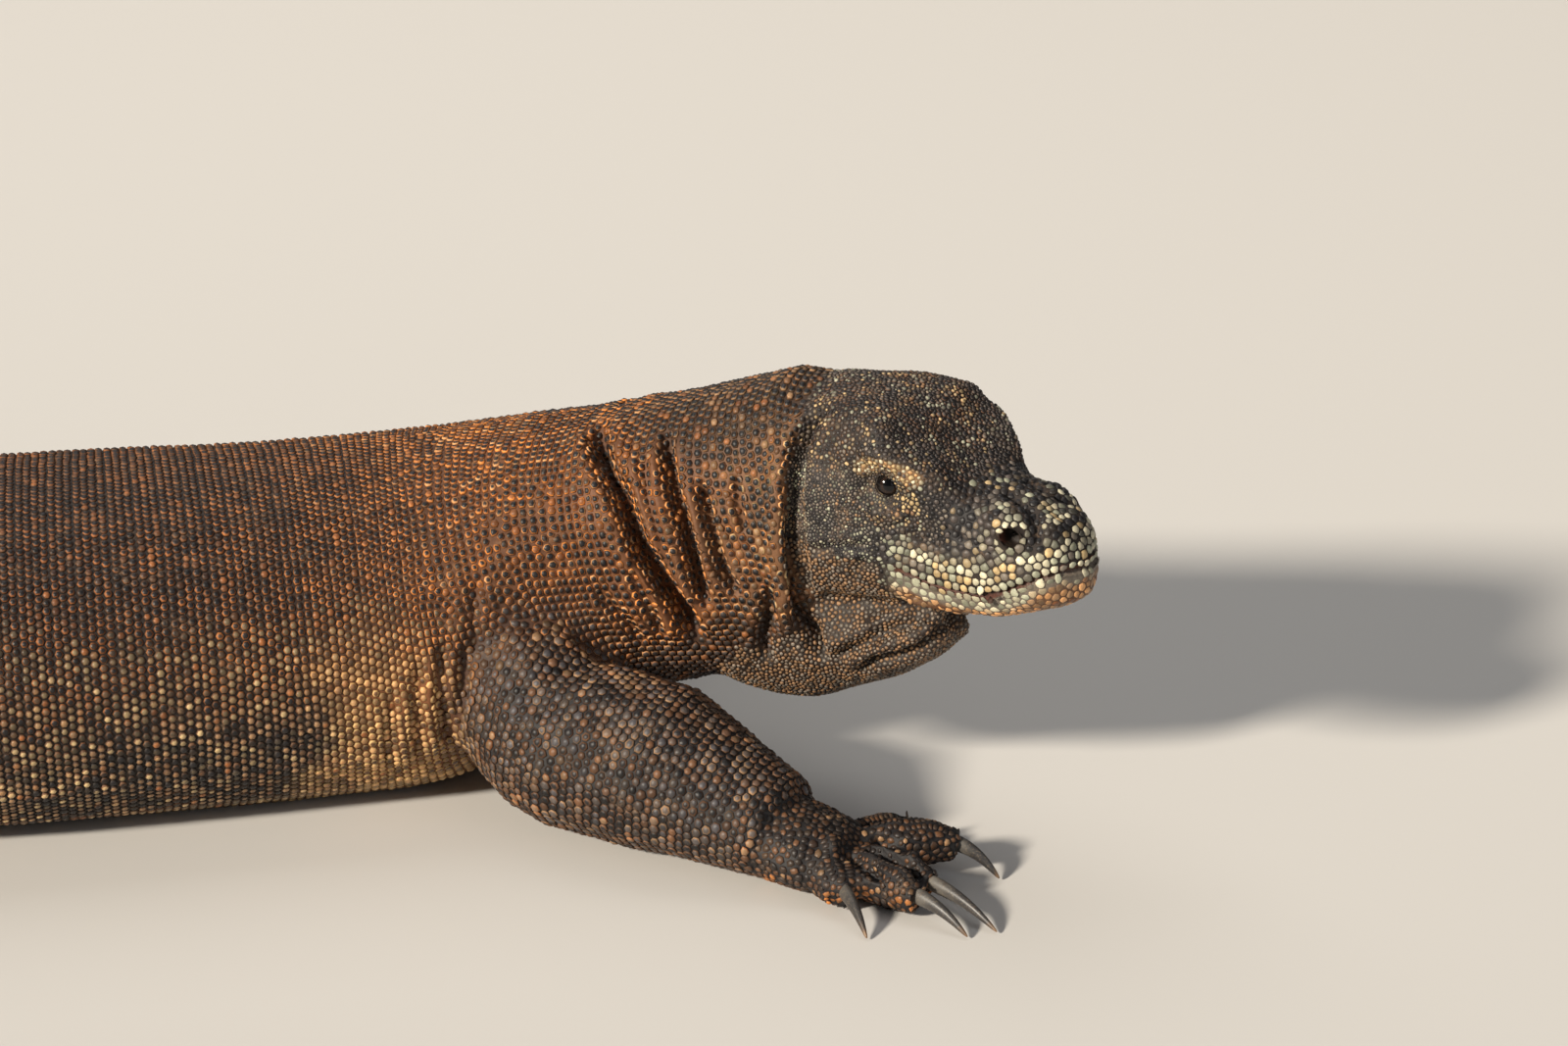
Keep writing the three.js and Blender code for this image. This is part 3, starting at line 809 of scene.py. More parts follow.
mouthLine = curveThrough(np.array(headMarks["mouth"])[::-1] * mm)
bare = -1  # the zone of faces without scales


def zoneValues(key, kind):
    return np.array([zone[key] for zone in zones.values()])[kind]


def onFace(owners):
    return belongs(owners, "head", "lower_jaw")


def zoneOf(points, owners):
    kind = np.full(len(points), zoneNames.index("trunk"))

    def paint(name, where):
        kind[where] = zoneNames.index(name)

    head, jaw = belongs(owners, "head"), belongs(owners, "lower_jaw")
    local = inHead(points)
    x, y, z = local[:, 0], np.abs(local[:, 1]), local[:, 2]
    paint("belly", belongs(owners, "trunk") & (points[:, 2] < 14 * mm))
    paint("neck", belongs(owners, "neck"))
    paint("tail", belongs(owners, "tail"))
    paint("limb", belongs(owners, "upper_arm", "forearm", "thigh", "shin"))
    paint("foot", belongs(owners, "hand", "foot"))
    paint("throat", belongs(owners, "throat"))
    paint("skull", head)
    paint("temple", head & (x < 84 * mm) & (z < 66 * mm) & (y > 40 * mm))
    paint("throat", jaw & (x < 95 * mm))
    paint("throat", head & (z < 2 * mm) & (x < 80 * mm))
    paint("snout", head & (x > 140 * mm))
    paint("snout", head & (x > 95 * mm) & (z < 26 * mm))
    paint("snout", jaw & (x >= 95 * mm))
    mouth = np.interp(x, mouthLine[:, 0], mouthLine[:, 2])
    paint("lip", onFace(owners) & (x > 98 * mm) & (z < mouth - 1 * mm))
    paint("lid", nearest(local, [inHead(e) for e in eyeSpots]) < 16 * mm)
    return kind


def pitchOf(kind):
    return zoneValues("across", kind) * mm


faceZones = zoneOf(ground.middles, faceOwners)
faceZones[ground.bare] = bare


sizeLimits = (-1.6, 1.8)  # how far sizes vary, in spreads
spreadSet = {"passes": 5, "neighbours": 7, "apart": 1.04, "push": 0.3, "longest": 0.3}


class Coat:
    def __init__(self):
        self.places = np.zeros((0, 3))
        self.faces = np.zeros(0, int)
        self.size = np.zeros(0)
        self.loose = np.zeros(0, bool)

    def keep(self, places, faces, loose=True):
        vary = zoneValues("vary", faceZones[faces])
        size = np.exp(np.clip(rng.normal(size=len(faces)), *sizeLimits) * vary)
        self.places = np.vstack([self.places, places])
        self.faces = np.concatenate([self.faces, faces])
        self.size = np.concatenate([self.size, size])
        self.loose = np.concatenate([self.loose, np.full(len(faces), loose)])

    # those of the spots, in the given order, that are a pitch away from every scale so far
    def roomFor(self, spots, order, pitch):
        spacing = Spacing(pitch.max(), self.places)
        kept = []
        for i in order:
            if spacing.free(spots[i], pitch[i]):
                spacing.add(spots[i])
                kept.append(i)
        return kept

    def set(self, spots, allowed, kinds, closeness=0.74, reach=14 * mm, loose=True):
        places, faces, away = ground.settle(spots)
        kind = faceZones[faces]
        wanted = (away < reach) & np.isin(faceOwners[faces], allowed)
        wanted &= np.isin(kind, [zoneNames.index(k) for k in kinds])
        kept = self.roomFor(places, np.flatnonzero(wanted), pitchOf(kind) * closeness)
        self.keep(places[kept], faces[kept], loose)

    def fill(self, kinds, density, closeness):
        for name in kinds:
            pitch = zones[name]["across"] * mm
            faces = np.flatnonzero(faceZones == zoneNames.index(name))
            count = int(density * ground.areas[faces].sum() / pitch**2)
            if not count:
                continue
            places, picked = ground.scatter(faces, count)
            kept = self.roomFor(places, range(count), np.full(count, pitch * closeness))
            self.keep(places[kept], picked[kept])

    def neighbours(self, count):
        tree = kdtree.KDTree(len(self.places))
        for i, place in enumerate(self.places):
            tree.insert(place, i)
        tree.balance()
        index = np.zeros((len(self.places), count), int)
        away = np.full((len(self.places), count), 1.0)
        for i, place in enumerate(self.places):
            for slot, (_, other, distance) in enumerate(tree.find_n(place, count + 1)[1:]):
                index[i, slot], away[i, slot] = other, distance
        return index, away

    # scales push their neighbours away until they are evenly spread
    def spread(self):
        for _ in range(spreadSet["passes"]):
            index, away = self.neighbours(spreadSet["neighbours"])
            pitch = pitchOf(faceZones[self.faces])[:, None] * (self.size[:, None] + self.size[index]) / 2
            push = np.maximum(pitch * spreadSet["apart"] - away, 0) * spreadSet["push"]
            offset = self.places[:, None] - self.places[index]
            step = (offset / np.maximum(away, 1e-6)[:, :, None] * push[:, :, None]).sum(1)
            normals = ground.normalsAt(self.places, self.faces)
            step -= normals * (step * normals).sum(1, keepdims=True)
            longest = spreadSet["longest"] * pitch.mean(1, keepdims=True)
            size = np.linalg.norm(step, axis=1, keepdims=True)
            step *= np.minimum(1, longest / np.maximum(size, 1e-9)) * self.loose[:, None]
            self.places, self.faces, _ = ground.settle(self.places + step)


def allowedOwners(*starts):
    return [i for i, name in enumerate(fleshNodes) if name.startswith(starts)]


# rows of spots round a body length, each row set half a step round from the last
def ringSpots(path, tree, start, end, row, across, reach):
    spots = []
    turns = np.linspace(-math.pi, math.pi, 97)
    for number, s in enumerate(np.arange(start, end, row)):
        centre, _, right, up = path.frameAt(s)
        ring = []
        for turn in turns:
            out = up * math.cos(turn) + right * math.sin(turn)
            hit = tree.ray_cast(Vector(centre + out * reach), Vector(-out), reach)[0]
            if hit is not None:
                ring.append(hit)
        if len(ring) < 24:
            continue
        ring = np.array(ring)
        length = lengthsOf(ring)
        count = max(6, round(length[-1] / across))
        at = (np.arange(count) + 0.5 * (number % 2)) / count * length[-1]
        spots.append(pointsAt(ring, length, at))
    return np.vstack(spots)


def legPath(upper, lower, foot, claws):
    middles = [readVectors(nodes[n].data, "co").mean(0) for n in (upper, lower, foot)]
    reach = np.mean([boxCentre(c) for c in claws], axis=0)
    root = middles[0] * 2 - middles[1]
    return BodyPath([root, *middles, reach])


legPaths = {}
for side in ("right", "left"):
    for end, parts in (("front", ("upper_arm", "forearm", "hand")), ("hind", ("thigh", "shin", "foot"))):
        names = [f"{part}_{side}" for part in parts]
        claws = [c for c in clawNodes if c.startswith(f"claw_{end}_{side}")]
        legPaths[f"{end}_{side}"] = (names, legPath(*names, claws))


# even steps along a line
def evenSteps(line, step):
    length = lengthsOf(line)
    count = max(2, round(length[-1] / step))
    at = (np.arange(count) + 0.5) / count * length[-1]
    return pointsAt(line, length, at)


# rows of scales beside the mouth line: millimetres above it, and the step along the row
lipRows = ((4.6, 6.6), (-5.7, 6.8), (10.6, 6.2), (-11.4, 6.4))


def lipSpots():
    half = mirrored(headMarks["mouth"])
    whole = headMarks["mouth"][::-1] + half
    line = fromHead(curveThrough(np.array(whole, float) * mm, 8))
    spots = []
    for lift, step in lipRows:
        row, _, _ = ground.settle(line + headAxes[2] * lift * mm)
        spots.append(evenSteps(row, step * mm))
    return np.vstack(spots)


coat = Coat()
faceKinds = ["snout", "lip", "skull", "temple", "throat"]
coat.set(lipSpots(), allowedOwners("head", "lower_jaw"), faceKinds, 0.8, 8 * mm)
for name, start, end in (("neck", 0.0, 0.262), ("trunk", 0.25, 1.13), ("tail", 1.1, spine.length)):
    zone = zones[name]
    spots = ringSpots(spine, spineTree, start, end, zone["row"] * mm, zone["across"] * mm, 0.26)
    coat.set(spots, allowedOwners("neck", "trunk", "tail", "upper_arm", "thigh"), [name, "belly"], 0.64)
print("rows on the body:", len(coat.places))
for name, (names, path) in legPaths.items():
    zone = zones["limb"]
    steps = (zone["row"] * mm, zone["across"] * mm)
    spots = ringSpots(path, treeOf(names), 0.0, path.length * 0.8, *steps, 0.13)
    coat.set(spots, allowedOwners(*names), ["limb"], 0.7)
print("rows on the legs:", len(coat.places))

# bands of wide scales over each toe, from the knuckles to the claw
toeScutes = {"row": 4.2 * mm, "across": 7.0 * mm, "start": 0.4, "end": 1.02}


def toeSpots(foot):
    middle, roots = toeLines(foot)
    spots = []
    for root in roots:
        line = fromAbove(ground.tree, middle, root, toeScutes["start"], toeScutes["end"])
        if len(line) < 2:
            continue
        ahead = unit((root - middle) * (1, 1, 0))
        aside = np.array((-ahead[1], ahead[0], 0)) * toeScutes["across"]
        for place in evenSteps(line, toeScutes["row"]):
            spots += [place + aside * step for step in (0, -1, 1)]
    return np.array(spots)


for foot in feet:
    coat.set(toeSpots(foot), allowedOwners(foot), ["foot"], 0.74, 9 * mm, loose=False)
coat.fill(["lid", "lip", "snout", "skull", "temple", "throat"], 6, 0.74)
coat.fill(["foot"], 5, 0.9)
coat.fill(["neck", "trunk", "tail", "limb", "belly"], 4, 0.68)
coat.spread()
print("scales:", len(coat.places))


# picker values to linear light
def tint(*picked):
    value = np.array(picked) / 255
    return np.where(value < 0.04045, value / 12.92, ((value + 0.055) / 1.055) ** 2.4)


def mottle(points, size, shift=0.0):
    return np.array([noise.noise(p) for p in points / size + shift])


paints = {name: tint(*picked) for name, *picked in (
    ("ink", 28, 25, 26),
    ("slate", 68, 65, 67),
    ("umber", 36, 26, 20),
    ("bark", 94, 64, 42),
    ("dust", 134, 103, 73),
    ("rust", 208, 130, 60),
    ("ember", 132, 80, 42),
    ("sand", 186, 160, 116),
    ("bone", 200, 192, 164),
    ("lichen", 156, 156, 134),
    ("ochre", 222, 184, 122),
    ("clay", 198, 146, 96),
    ("stone", 112, 103, 92),
    ("granite", 76, 68, 64),
    # pit: dark reddish-brown painted shade for the insides of the nostrils and the mouth's seam
    ("pit", 76, 36, 20),
)}


# The colours of a place, shared by the skin and its scales: in the gaps, on the rims and on the crowns.
# Paints are named in that order, and a dash leaves a part as it is. chance is random for each scale.
class Colours:
    def __init__(self, count, chance):
        self.chance = chance
        self.parts = {key: np.tile(paints["umber"], (count, 1)) for key in ("gap", "rim", "crown")}

    def paint(self, mask, wanted):
        mask = np.clip(mask, 0, 1)[:, None]
        for values, name in zip(self.parts.values(), wanted.split()):
            if name != "-":
                values += (paints[name] - values) * mask

    # Paints a share of the scales, picked at random: each turn from 0 to 1 picks others.
    # The skin has no scales to pick from and gets part of the share all over.
    def some(self, mask, *picks):
        for share, turn, wanted in picks:
            if self.chance is None:
                picked = share * 0.6
            else:
                picked = ramp(-0.04, 0.04, share - (self.chance + turn) % 1)
            self.paint(np.clip(mask, 0, 1) * picked, wanted)


partTrees = {
    "legs": treeOf([name for names, path in legPaths.values() for name in names]),
    "rest": treeOf([n for n in fleshNodes if n.startswith(("neck", "trunk", "tail", "throat", "head"))]),
}


# from 0 well inside the rest of the body to 1 well inside the legs, fading over the given width
def onLegs(spots, width):
    away = {}
    for part, tree in partTrees.items():
        found = [tree.find_nearest(Vector(spot), width)[3] for spot in spots]
        away[part] = np.array([width if gap is None else gap for gap in found])
    return ramp(-width, width, away["rest"] - away["legs"])


def coloursOf(spots, owned, tone, chance):
    drift = np.stack([mottle(spots, 45 * mm, k * 7.1) for k in range(3)], axis=1)
    stir = np.stack([mottle(spots, 13 * mm, k * 5.3 + 40) for k in range(3)], axis=1)
    s, w = spine.coordinates(spots)
    s = s + 0.030 * drift[:, 0] + 0.006 * stir[:, 0]
    w = np.abs(np.degrees(w)) + 9 * drift[:, 1] + 3 * stir[:, 1]
    head = onFace(owned)
    limb = onLegs(spots, 34 * mm) * ~head
    foot = belongs(owned, "hand", "foot")
    body = 1.0 * ~head
    colours = Colours(len(spots), chance)
    paint, some = colours.paint, colours.some

    # body: rust at the shoulders, browner to the rear, pale beads on dark along the flank
    bright = body * (1 - ramp(0.26, 0.62, s)) * (0.6 + 0.4 * ramp(-0.35, 0.25, drift[:, 2]))
    paint(body * 1.0, "umber ember ink")
    paint(body * ramp(0.75, 1.25, s), "- bark -")
    paint(bright, "- rust -")
    paint(bright * (1 - ramp(0.3, 0.45, s)) * 0.35, "ember - -")
    some(bright * (1 - ramp(0.3, 0.45, s)), (0.4, 0.65, "ember - -"))
    paint((1 - ramp(0.04, 0.15, s)) * body * 0.6, "bark clay -")
    paint(body * (1 - ramp(14, 46, w)) * ramp(0.24, 0.5, s) * 0.6, "umber bark -")
    some(body * ramp(0.45, 0.7, s) * (1 - ramp(1.0, 1.5, s)), (0.3, 0, "- rust -"))
    some(body * (1 - ramp(0.05, 0.3, s)), (0.14, 0, "- - dust"))
    some(bright, (0.16, 0.8, "ember clay -"))
    some(body * (1 - ramp(0.2, 0.3, s)), (0.3, 0.5, "ember clay -"))
    some(bright, (0.26, 0.45, "bark ember -"))
    front = body * (1 - ramp(0.05, 0.17, s))
    some(front, (0.3, 0.2, "dust dust -"), (0.12, 0.1, "clay sand -"), (0.25, 0.6, "umber stone -"))
    nape = body * (1 - ramp(0.10, 0.22, s)) * (1 - ramp(18, 44, w))
    paint(nape * 0.8, "umber bark -")
    some(nape, (0.35, 0.4, "- dust -"))
    flank = body * ramp(64, 106, w) * ramp(0.27, 0.42, s)
    paint(flank, "umber - -")
    paint(flank ** 2, "- umber -")
    some(flank ** 0.6, (0.5, 0, "- - sand"))
    some(flank, (0.4, 0.3, "- - dust"), (0.22, 0.75, "- - umber"))
    armpit = body * ramp(0.33, 0.36, s) * (1 - ramp(0.43, 0.47, s)) * ramp(72, 90, w)
    paint(armpit * 0.75, "ember ochre clay")
    some(armpit, (0.4, 0.3, "- - bark"))
    belly = body * ramp(128, 150, w)
    paint(belly * ramp(0.27, 0.42, s) * 0.8, "bark dust sand")
    paint(belly * (1 - ramp(0.2, 0.35, s)) * 0.8, "umber bark granite")
    patches = ramp(0.25, 0.6, drift[:, 2]) * ramp(0.3, 0.5, s)
    paint(body * patches * 0.5, "umber bark -")
    some(body * ramp(0.3, 0.6, s), (0.4, 0, "- bark -"))
    some(body * ramp(-0.2, 0.4, stir[:, 0]), (0.18, 0, "- - ember"))

    # legs: slate crowns with dusty brown rims, rust at the toes
    paint(limb, "ink bark granite")
    some(limb, (0.24, 0.25, "- dust -"), (0.42, 0, "- - ink"), (0.14, 0.6, "- - bark"),
         (0.22, 0.35, "- - slate"))
    some(limb * ramp(-0.25, 0.35, drift[:, 0]), (0.12, 0.2, "- ember dust"))
    # pale dust colour on rims and crowns of the legs' higher scales: partly dust, partly painted highlight
    # where light falls on their tops
    some(limb * (spots[:, 2] > 120 * mm), (0.08, 0.8, "- dust dust"))
    paint(foot * 0.85, "ink umber umber")
    some(foot * 1.0, (0.34, 0, "- - bark"), (0.08, 0.5, "- - dust"))
    paint(foot * (1 - ramp(10 * mm, 26 * mm, spots[:, 2])) * ramp(-0.1, 0.4, stir[:, 1]) * 0.7,
          "- ember rust")

    # head
    local = inHead(spots) / mm + 4.5 * drift * [1, 0, 1] + 2 * stir
    x, y, z = local[:, 0], np.abs(local[:, 1]), local[:, 2]
    folded = np.stack([x, y, z], axis=1)

    def around(inner, outer, *points):
        return head * (1 - ramp(inner, outer, nearest(folded, points)))

    skull = head * 1.0
    paint(skull, "umber granite ink")
    some(skull * ramp(-0.3, 0.3, drift[:, 0]), (0.5, 0, "- bark -"))
    # grey crowns on part of the skull's scales: partly their own flecks, partly painted highlights on their
    # tops
    some(skull, (0.28, 0, "- - granite"))
    some(skull * ramp(-0.3, 0.3, drift[:, 1]), (0.3, 0, "- - stone"))
    tan = skull * ramp(0, 0.5, stir[:, 0] + 0.5 * drift[:, 2]) * (1 - ramp(122, 142, x))
    some(tan, (0.3, 0.5, "- bark dust"), (0.14, 0.2, "- dust sand"))
    # pale crowns on a few skull scales: partly their own flecks, partly painted highlights on their tops
    some(skull, (0.05, 0.8, "- - sand"))
    some(skull * ramp(-0.3, 0.2, stir[:, 1]), (0.12, 0.35, "- stone lichen"))
    temple = head * (1 - ramp(74, 92, x)) * (1 - ramp(52, 72, z)) * ramp(2, 14, z)
    # the temple's lighter crowns and dark gaps: partly its own pale flecks, partly painted highlight on the
    # grains' tops and painted shade between them
    paint(temple * 0.85, "ink granite stone")
    some(temple, (0.3, 0.1, "- - granite"), (0.18, 0.8, "- - ink"))
    some(temple * ramp(-0.3, 0.3, stir[:, 0]), (0.3, 0.5, "- stone dust"))
    some(temple * ramp(-0.4, 0.2, stir[:, 1]), (0.22, 0.75, "- stone lichen"))
    cheek = head * (1 - ramp(96, 118, x)) * (1 - ramp(26, 34, z)) * ramp(-2, 6, z) * ramp(34, 46, x)
    paint(cheek * 0.7, "ink ink slate")
    some(cheek, (0.35, 0, "- - stone"), (0.1, 0, "- - bone"))
    corner = around(14, 34, (98, 54, 6), (84, 58, 4), (70, 60, 0))
    some(corner, (0.3, 0.2, "- stone lichen"), (0.3, 0.55, "- ink ink"))
    front = head * ramp(160, 176, x) * (1 - ramp(44, 54, z))
    side = head * ramp(98, 116, x) * (1 - ramp(14, 24, z + 5 * stir[:, 0]))
    pale = np.maximum(front, side)
    tip = head * ramp(182, 200, x) * (1 - ramp(50, 60, z))
    pale = np.maximum(pale, tip)
    pale = np.maximum(pale, around(13, 19, (178, 34, 52)))
    # the groove down the snout: painted shade along its crease, kept out of the pale paint
    groove = around(5, 9, *curveThrough(snoutGroove)[::3])
    pale = pale * (1 - groove)
    paint(pale, "umber lichen lichen")
    some(pale, (0.42, 0, "- bone bone"), (0.24, 0.5, "- sand sand"), (0.13, 0.3, "- stone stone"))
    some(pale * ramp(30, 46, z), (0.34, 0.75, "- granite ink"))
    some(pale * (1 - ramp(178, 190, x)) * ramp(10, 22, z), (0.3, 0.1, "- stone granite"))
    # painted shade in the snout's groove: gaps umber, scales ink
    paint(groove, "umber ink ink")
    loreal = around(9, 16, (128, 51, 52), (140, 47, 50), (150, 42, 48), (158, 42, 36), (146, 46, 32),
                    (132, 49, 30))
    paint(loreal * 0.9, "ink ink granite")
    some(loreal, (0.3, 0.2, "- - ink"), (0.2, 0.6, "- - stone"))
    some(loreal * ramp(-0.2, 0.3, stir[:, 2]), (0.12, 0.8, "- stone sand"))
    mouth = np.interp(x, mouthLine[:, 0] / mm, mouthLine[:, 2] / mm)
    lip = head * (1 - ramp(-3, -1, z - mouth)) * ramp(94, 110, x)
    paint(lip * 0.95, "stone lichen lichen")
    # painted shade: the gaps along the mouth's seam, where the crease is, are painted in the dark pit
    # colour
    paint(head * (1 - ramp(1.2, 3, np.abs(z - mouth))) * ramp(100, 106, x), "pit - -")
    some(lip, (0.25, 0, "- bone bone"), (0.14, 0.4, "- - stone"))
    jaw = lip * (1 - ramp(-17, -12, z - mouth + 3 * stir[:, 0]))
    paint(jaw, "bark clay clay")
    some(jaw, (0.3, 0.3, "- dust dust"))
    under = jaw * (1 - ramp(-30, -24, z - mouth))
    paint(under, "umber bark dust")
    chin = lip * ramp(194, 212, x) * (1 - ramp(-13, -7, z - mouth + 4 * stir[:, 1]))
    paint(chin, "bark dust dust")
    some(chin, (0.35, 0.3, "- clay clay"), (0.2, 0.7, "- bark ember"))
    throat = belongs(owned, "throat") | (head & (z < 0) & (x < 92))
    throat = throat * (1 - ramp(-8, 4, z) * ramp(60, 90, x))
    paint(throat * 0.95, "umber bark dust")
    some(throat, (0.45, 0, "- - stone"))
    brow = around(4.5, 8, *curveThrough([(78, 58, 68), (88, 60, 74), (102, 58, 75), (114, 52, 70)])[::3])
    brow = brow * ramp(-0.6, -0.1, stir[:, 2])
    paint(brow * 0.9, "dust sand sand")
    some(brow, (0.25, 0.9, "- ochre ochre"), (0.5, 0, "- bone bone"), (0.22, 0.5, "- sand clay"),
         (0.14, 0.75, "- granite granite"))
    paint(around(2, 4, (88, 56, 51), (89, 56, 48)), "sand bone bone")
    some(around(6, 12, (104, 53, 50), (114, 51, 56)), (0.3, 0.15, "- sand sand"))
    ring = around(8.6, 10.4, headMarks["nostril"])
    some(ring, (0.8, 0.1, "- bone bone"))
    # painted shade: the whole nostril hole is painted in the dark pit colour
    paint(around(6.2, 7.2, headMarks["nostril"]), "pit pit pit")
    spread = np.where(head, 0.45, 0.56) + 0.25 * temple
    for values in colours.parts.values():
        values *= (1 + spread * (2 * tone - 1))[:, None]  # some scales darker, some brighter
    return colours.parts


def addColours(mesh, parts, repeat=1):
    for key, values in parts.items():
        layer = mesh.attributes.new(key + "Tint", "FLOAT_COLOR", "POINT")
        values = np.repeat(np.hstack([values, np.ones((len(values), 1))]), repeat, axis=0)
        layer.data.foreach_set("color", np.ascontiguousarray(values, np.float32).ravel())


# a scale is a low dome: rings of points from its foot to its top
def domeShape(sides, rings):
    bm = bmesh.new()
    turned = Matrix.Rotation(math.pi / 2, 4, "Z")  # a corner points along the scale
    bmesh.ops.create_circle(bm, segments=sides, radius=1, cap_ends=True, cap_tris=False, matrix=turned)
    loop = bm.edges[:]
    for radius, height in rings:
        grown = bmesh.ops.extrude_edge_only(bm, edges=loop)["geom"]
        verts = [g for g in grown if isinstance(g, bmesh.types.BMVert)]
        loop = [g for g in grown if isinstance(g, bmesh.types.BMEdge)]
        for vert in verts:
            level = math.hypot(vert.co.x, vert.co.y)
            vert.co *= radius / level
            vert.co.z = height
    top = bmesh.ops.contextual_create(bm, geom=loop)["faces"]
    poked = bmesh.ops.poke(bm, faces=top)["verts"]
    for vert in poked:
        vert.co.z = 1
    bmesh.ops.triangulate(bm, faces=bm.faces[:])
    bmesh.ops.recalc_face_normals(bm, faces=bm.faces[:])
    bm.verts.ensure_lookup_table()
    points = np.array([v.co[:] for v in bm.verts])
    faces = np.array([[v.index for v in f.verts] for f in bm.faces])
    bm.free()
    return points, faces


plainDome = domeShape(6, [(0.68, 0.72)])
packedDome = domeShape(6, [(0.84, 0.64)])
fineDome = domeShape(8, [(0.86, 0.5), (0.52, 0.9)])


# the way the scales point: towards the tail, down each leg, and back over the head
def layOf(places, owners):
    direction = spine.frameAt(np.clip(spine.coordinates(places)[0], 0, spine.length))[1]
    for names, path in legPaths.values():
        mine = np.flatnonzero(np.isin(owners, allowedOwners(*names)))
        direction[mine] = path.frameAt(np.clip(path.coordinates(places[mine])[0], 0, path.length))[1]
    direction[onFace(owners)] = -headAxes[0]
    return direction


places = coat.places
normals = ground.normalsAt(places, coat.faces)
owners = faceOwners[coat.faces]
kinds = faceZones[coat.faces]
lengthwise = layOf(places, owners)
lengthwise = unit(lengthwise - normals * (lengthwise * normals).sum(1, keepdims=True))
crosswise = np.cross(normals, lengthwise)
nearby, apart = coat.neighbours(9)
tone = rng.random(len(places))
scaleHeight = zoneValues("height", kinds) * mm
scaleRound = np.array([zone["round"] * zone["across"] for zone in zones.values()])[kinds] * mm
scaleColours = coloursOf(places, owners, tone, rng.random(len(places)))
crownEdge = zoneValues("edge", kinds) + 0.16 * (rng.random(len(places)) - 0.5)


domeSet = {
    "gap": 0.94,
    "tilt": 0.10,  # each scale rises towards its free end
    "patch": 0.0015,  # its size on the unwrap
    "beside": 0.4,  # neighbours right above or below are left out
    "nearness": 0.08,  # and so are those far off to the side
    "lowest": 0.4,  # heights of small scales against a full one
    "uneven": (0.85, 0.3),  # least height and spread
}


# how far a scale reaches in each direction before it meets its neighbours
def reachOf(chosen, angles):
    offset = places[nearby[chosen]] - places[chosen][:, None]
    x = (offset * lengthwise[chosen][:, None]).sum(2)
    y = (offset * crosswise[chosen][:, None]).sum(2)
    facing = (normals[nearby[chosen]] * normals[chosen][:, None]).sum(2)
    beside = np.hypot(x, y) > domeSet["beside"] * apart[chosen]
    flatness = 0.6 + 0.4 * np.clip(facing, 0, 1)  # short over sharp edges
    distance = np.where(beside, apart[chosen] * flatness, 1.0)
    nearness = np.cos(angles[None, :, None] - np.arctan2(y, x)[:, None, :])
    share = coat.size[chosen][:, None] / (coat.size[chosen][:, None] + coat.size[nearby[chosen]])
    least = domeSet["nearness"]
    limit = np.where(nearness > least, (distance * share)[:, None, :] / np.maximum(nearness, least), 1.0)
    return limit.min(2)


def meshFrom(name, points, faces):
    mesh = bpy.data.meshes.new(name)
    mesh.vertices.add(len(points))
    mesh.vertices.foreach_set("co", np.ascontiguousarray(points, np.float32).ravel())
    mesh.loops.add(faces.size)
    mesh.loops.foreach_set("vertex_index", np.ascontiguousarray(faces, np.int32).ravel())
    mesh.polygons.add(len(faces))
    mesh.polygons.foreach_set("loop_start", np.arange(0, faces.size, 3, dtype=np.int32))
    mesh.update(calc_edges=True)
    mesh.validate()
    mesh.shade_smooth()
    return mesh


def buildScales(name, chosen, dome, rootMap, slot):
    shape, shapeFaces = dome
    radii = np.hypot(shape[:, 0], shape[:, 1])
    angles = np.arctan2(shape[:, 1], shape[:, 0])
    sides = np.unique(np.round(angles[radii > 0.99], 5))
    side = np.abs(np.angle(np.exp(1j * (angles[:, None] - sides)))).argmin(1)
    widest = scaleRound[chosen] * coat.size[chosen]
    reach = np.minimum(reachOf(chosen, sides), widest[:, None]) * domeSet["gap"]
    size = reach.mean(1) / scaleRound[chosen]
    radial = reach[:, side] * radii
    x = radial * np.cos(angles)
    y = radial * np.sin(angles)
    least, spread = domeSet["uneven"]
    lift = scaleHeight[chosen] * np.clip(size * 1.1, domeSet["lowest"], 1) * (least + spread * tone[chosen])
    z = shape[:, 2] * (lift[:, None] + coatSet["sunk"]) - coatSet["sunk"]
    z = z + x * domeSet["tilt"] * shape[:, 2]
    points = (places[chosen][:, None] + x[:, :, None] * lengthwise[chosen][:, None]
              + y[:, :, None] * crosswise[chosen][:, None] + z[:, :, None] * normals[chosen][:, None])
    points[:, :, 2] = np.maximum(points[:, :, 2], 0.1 * mm)
    count, corners = len(chosen), len(shape)
    faces = shapeFaces[None] + (np.arange(count) * corners)[:, None, None]
    mesh = meshFrom(name, points.reshape(-1, 3), faces.reshape(-1, 3))
    layer = mesh.uv_layers.new(name="OFBake")
    spots = rootMap[:, None] + shape[None, :, :2] * domeSet["patch"]
    loops = np.empty(len(mesh.loops), np.int32)
    mesh.loops.foreach_get("vertex_index", loops)
    layer.data.foreach_set("uv", np.ascontiguousarray(spots.reshape(-1, 2)[loops], np.float32).ravel())
    addAttribute(mesh, "rise", np.tile(shape[:, 2], count))
    addAttribute(mesh, "crownEdge", np.repeat(crownEdge[chosen], corners))
    addColours(mesh, {key: values[chosen] for key, values in scaleColours.items()}, corners)
    piece = addObject(name, mesh)
    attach(piece, "root")
    return piece


# an unwrap of a body length: along its middle line and round it
def unwrap(path, spots):
    s, w = path.coordinates(spots)
    s = (s - s.min()) / max(np.ptp(s), 1e-6)
    return np.stack([0.01 + 0.98 * s, 0.02 + 0.96 * (w / (2 * math.pi) + 0.5)], axis=1)


headLine = ((-40, 0, 30), (40, 0, 35), (120, 0, 30), (190, 0, 25), (240, 0, 15))
headPath = BodyPath([fromHead(np.array(p) * mm) for p in headLine])

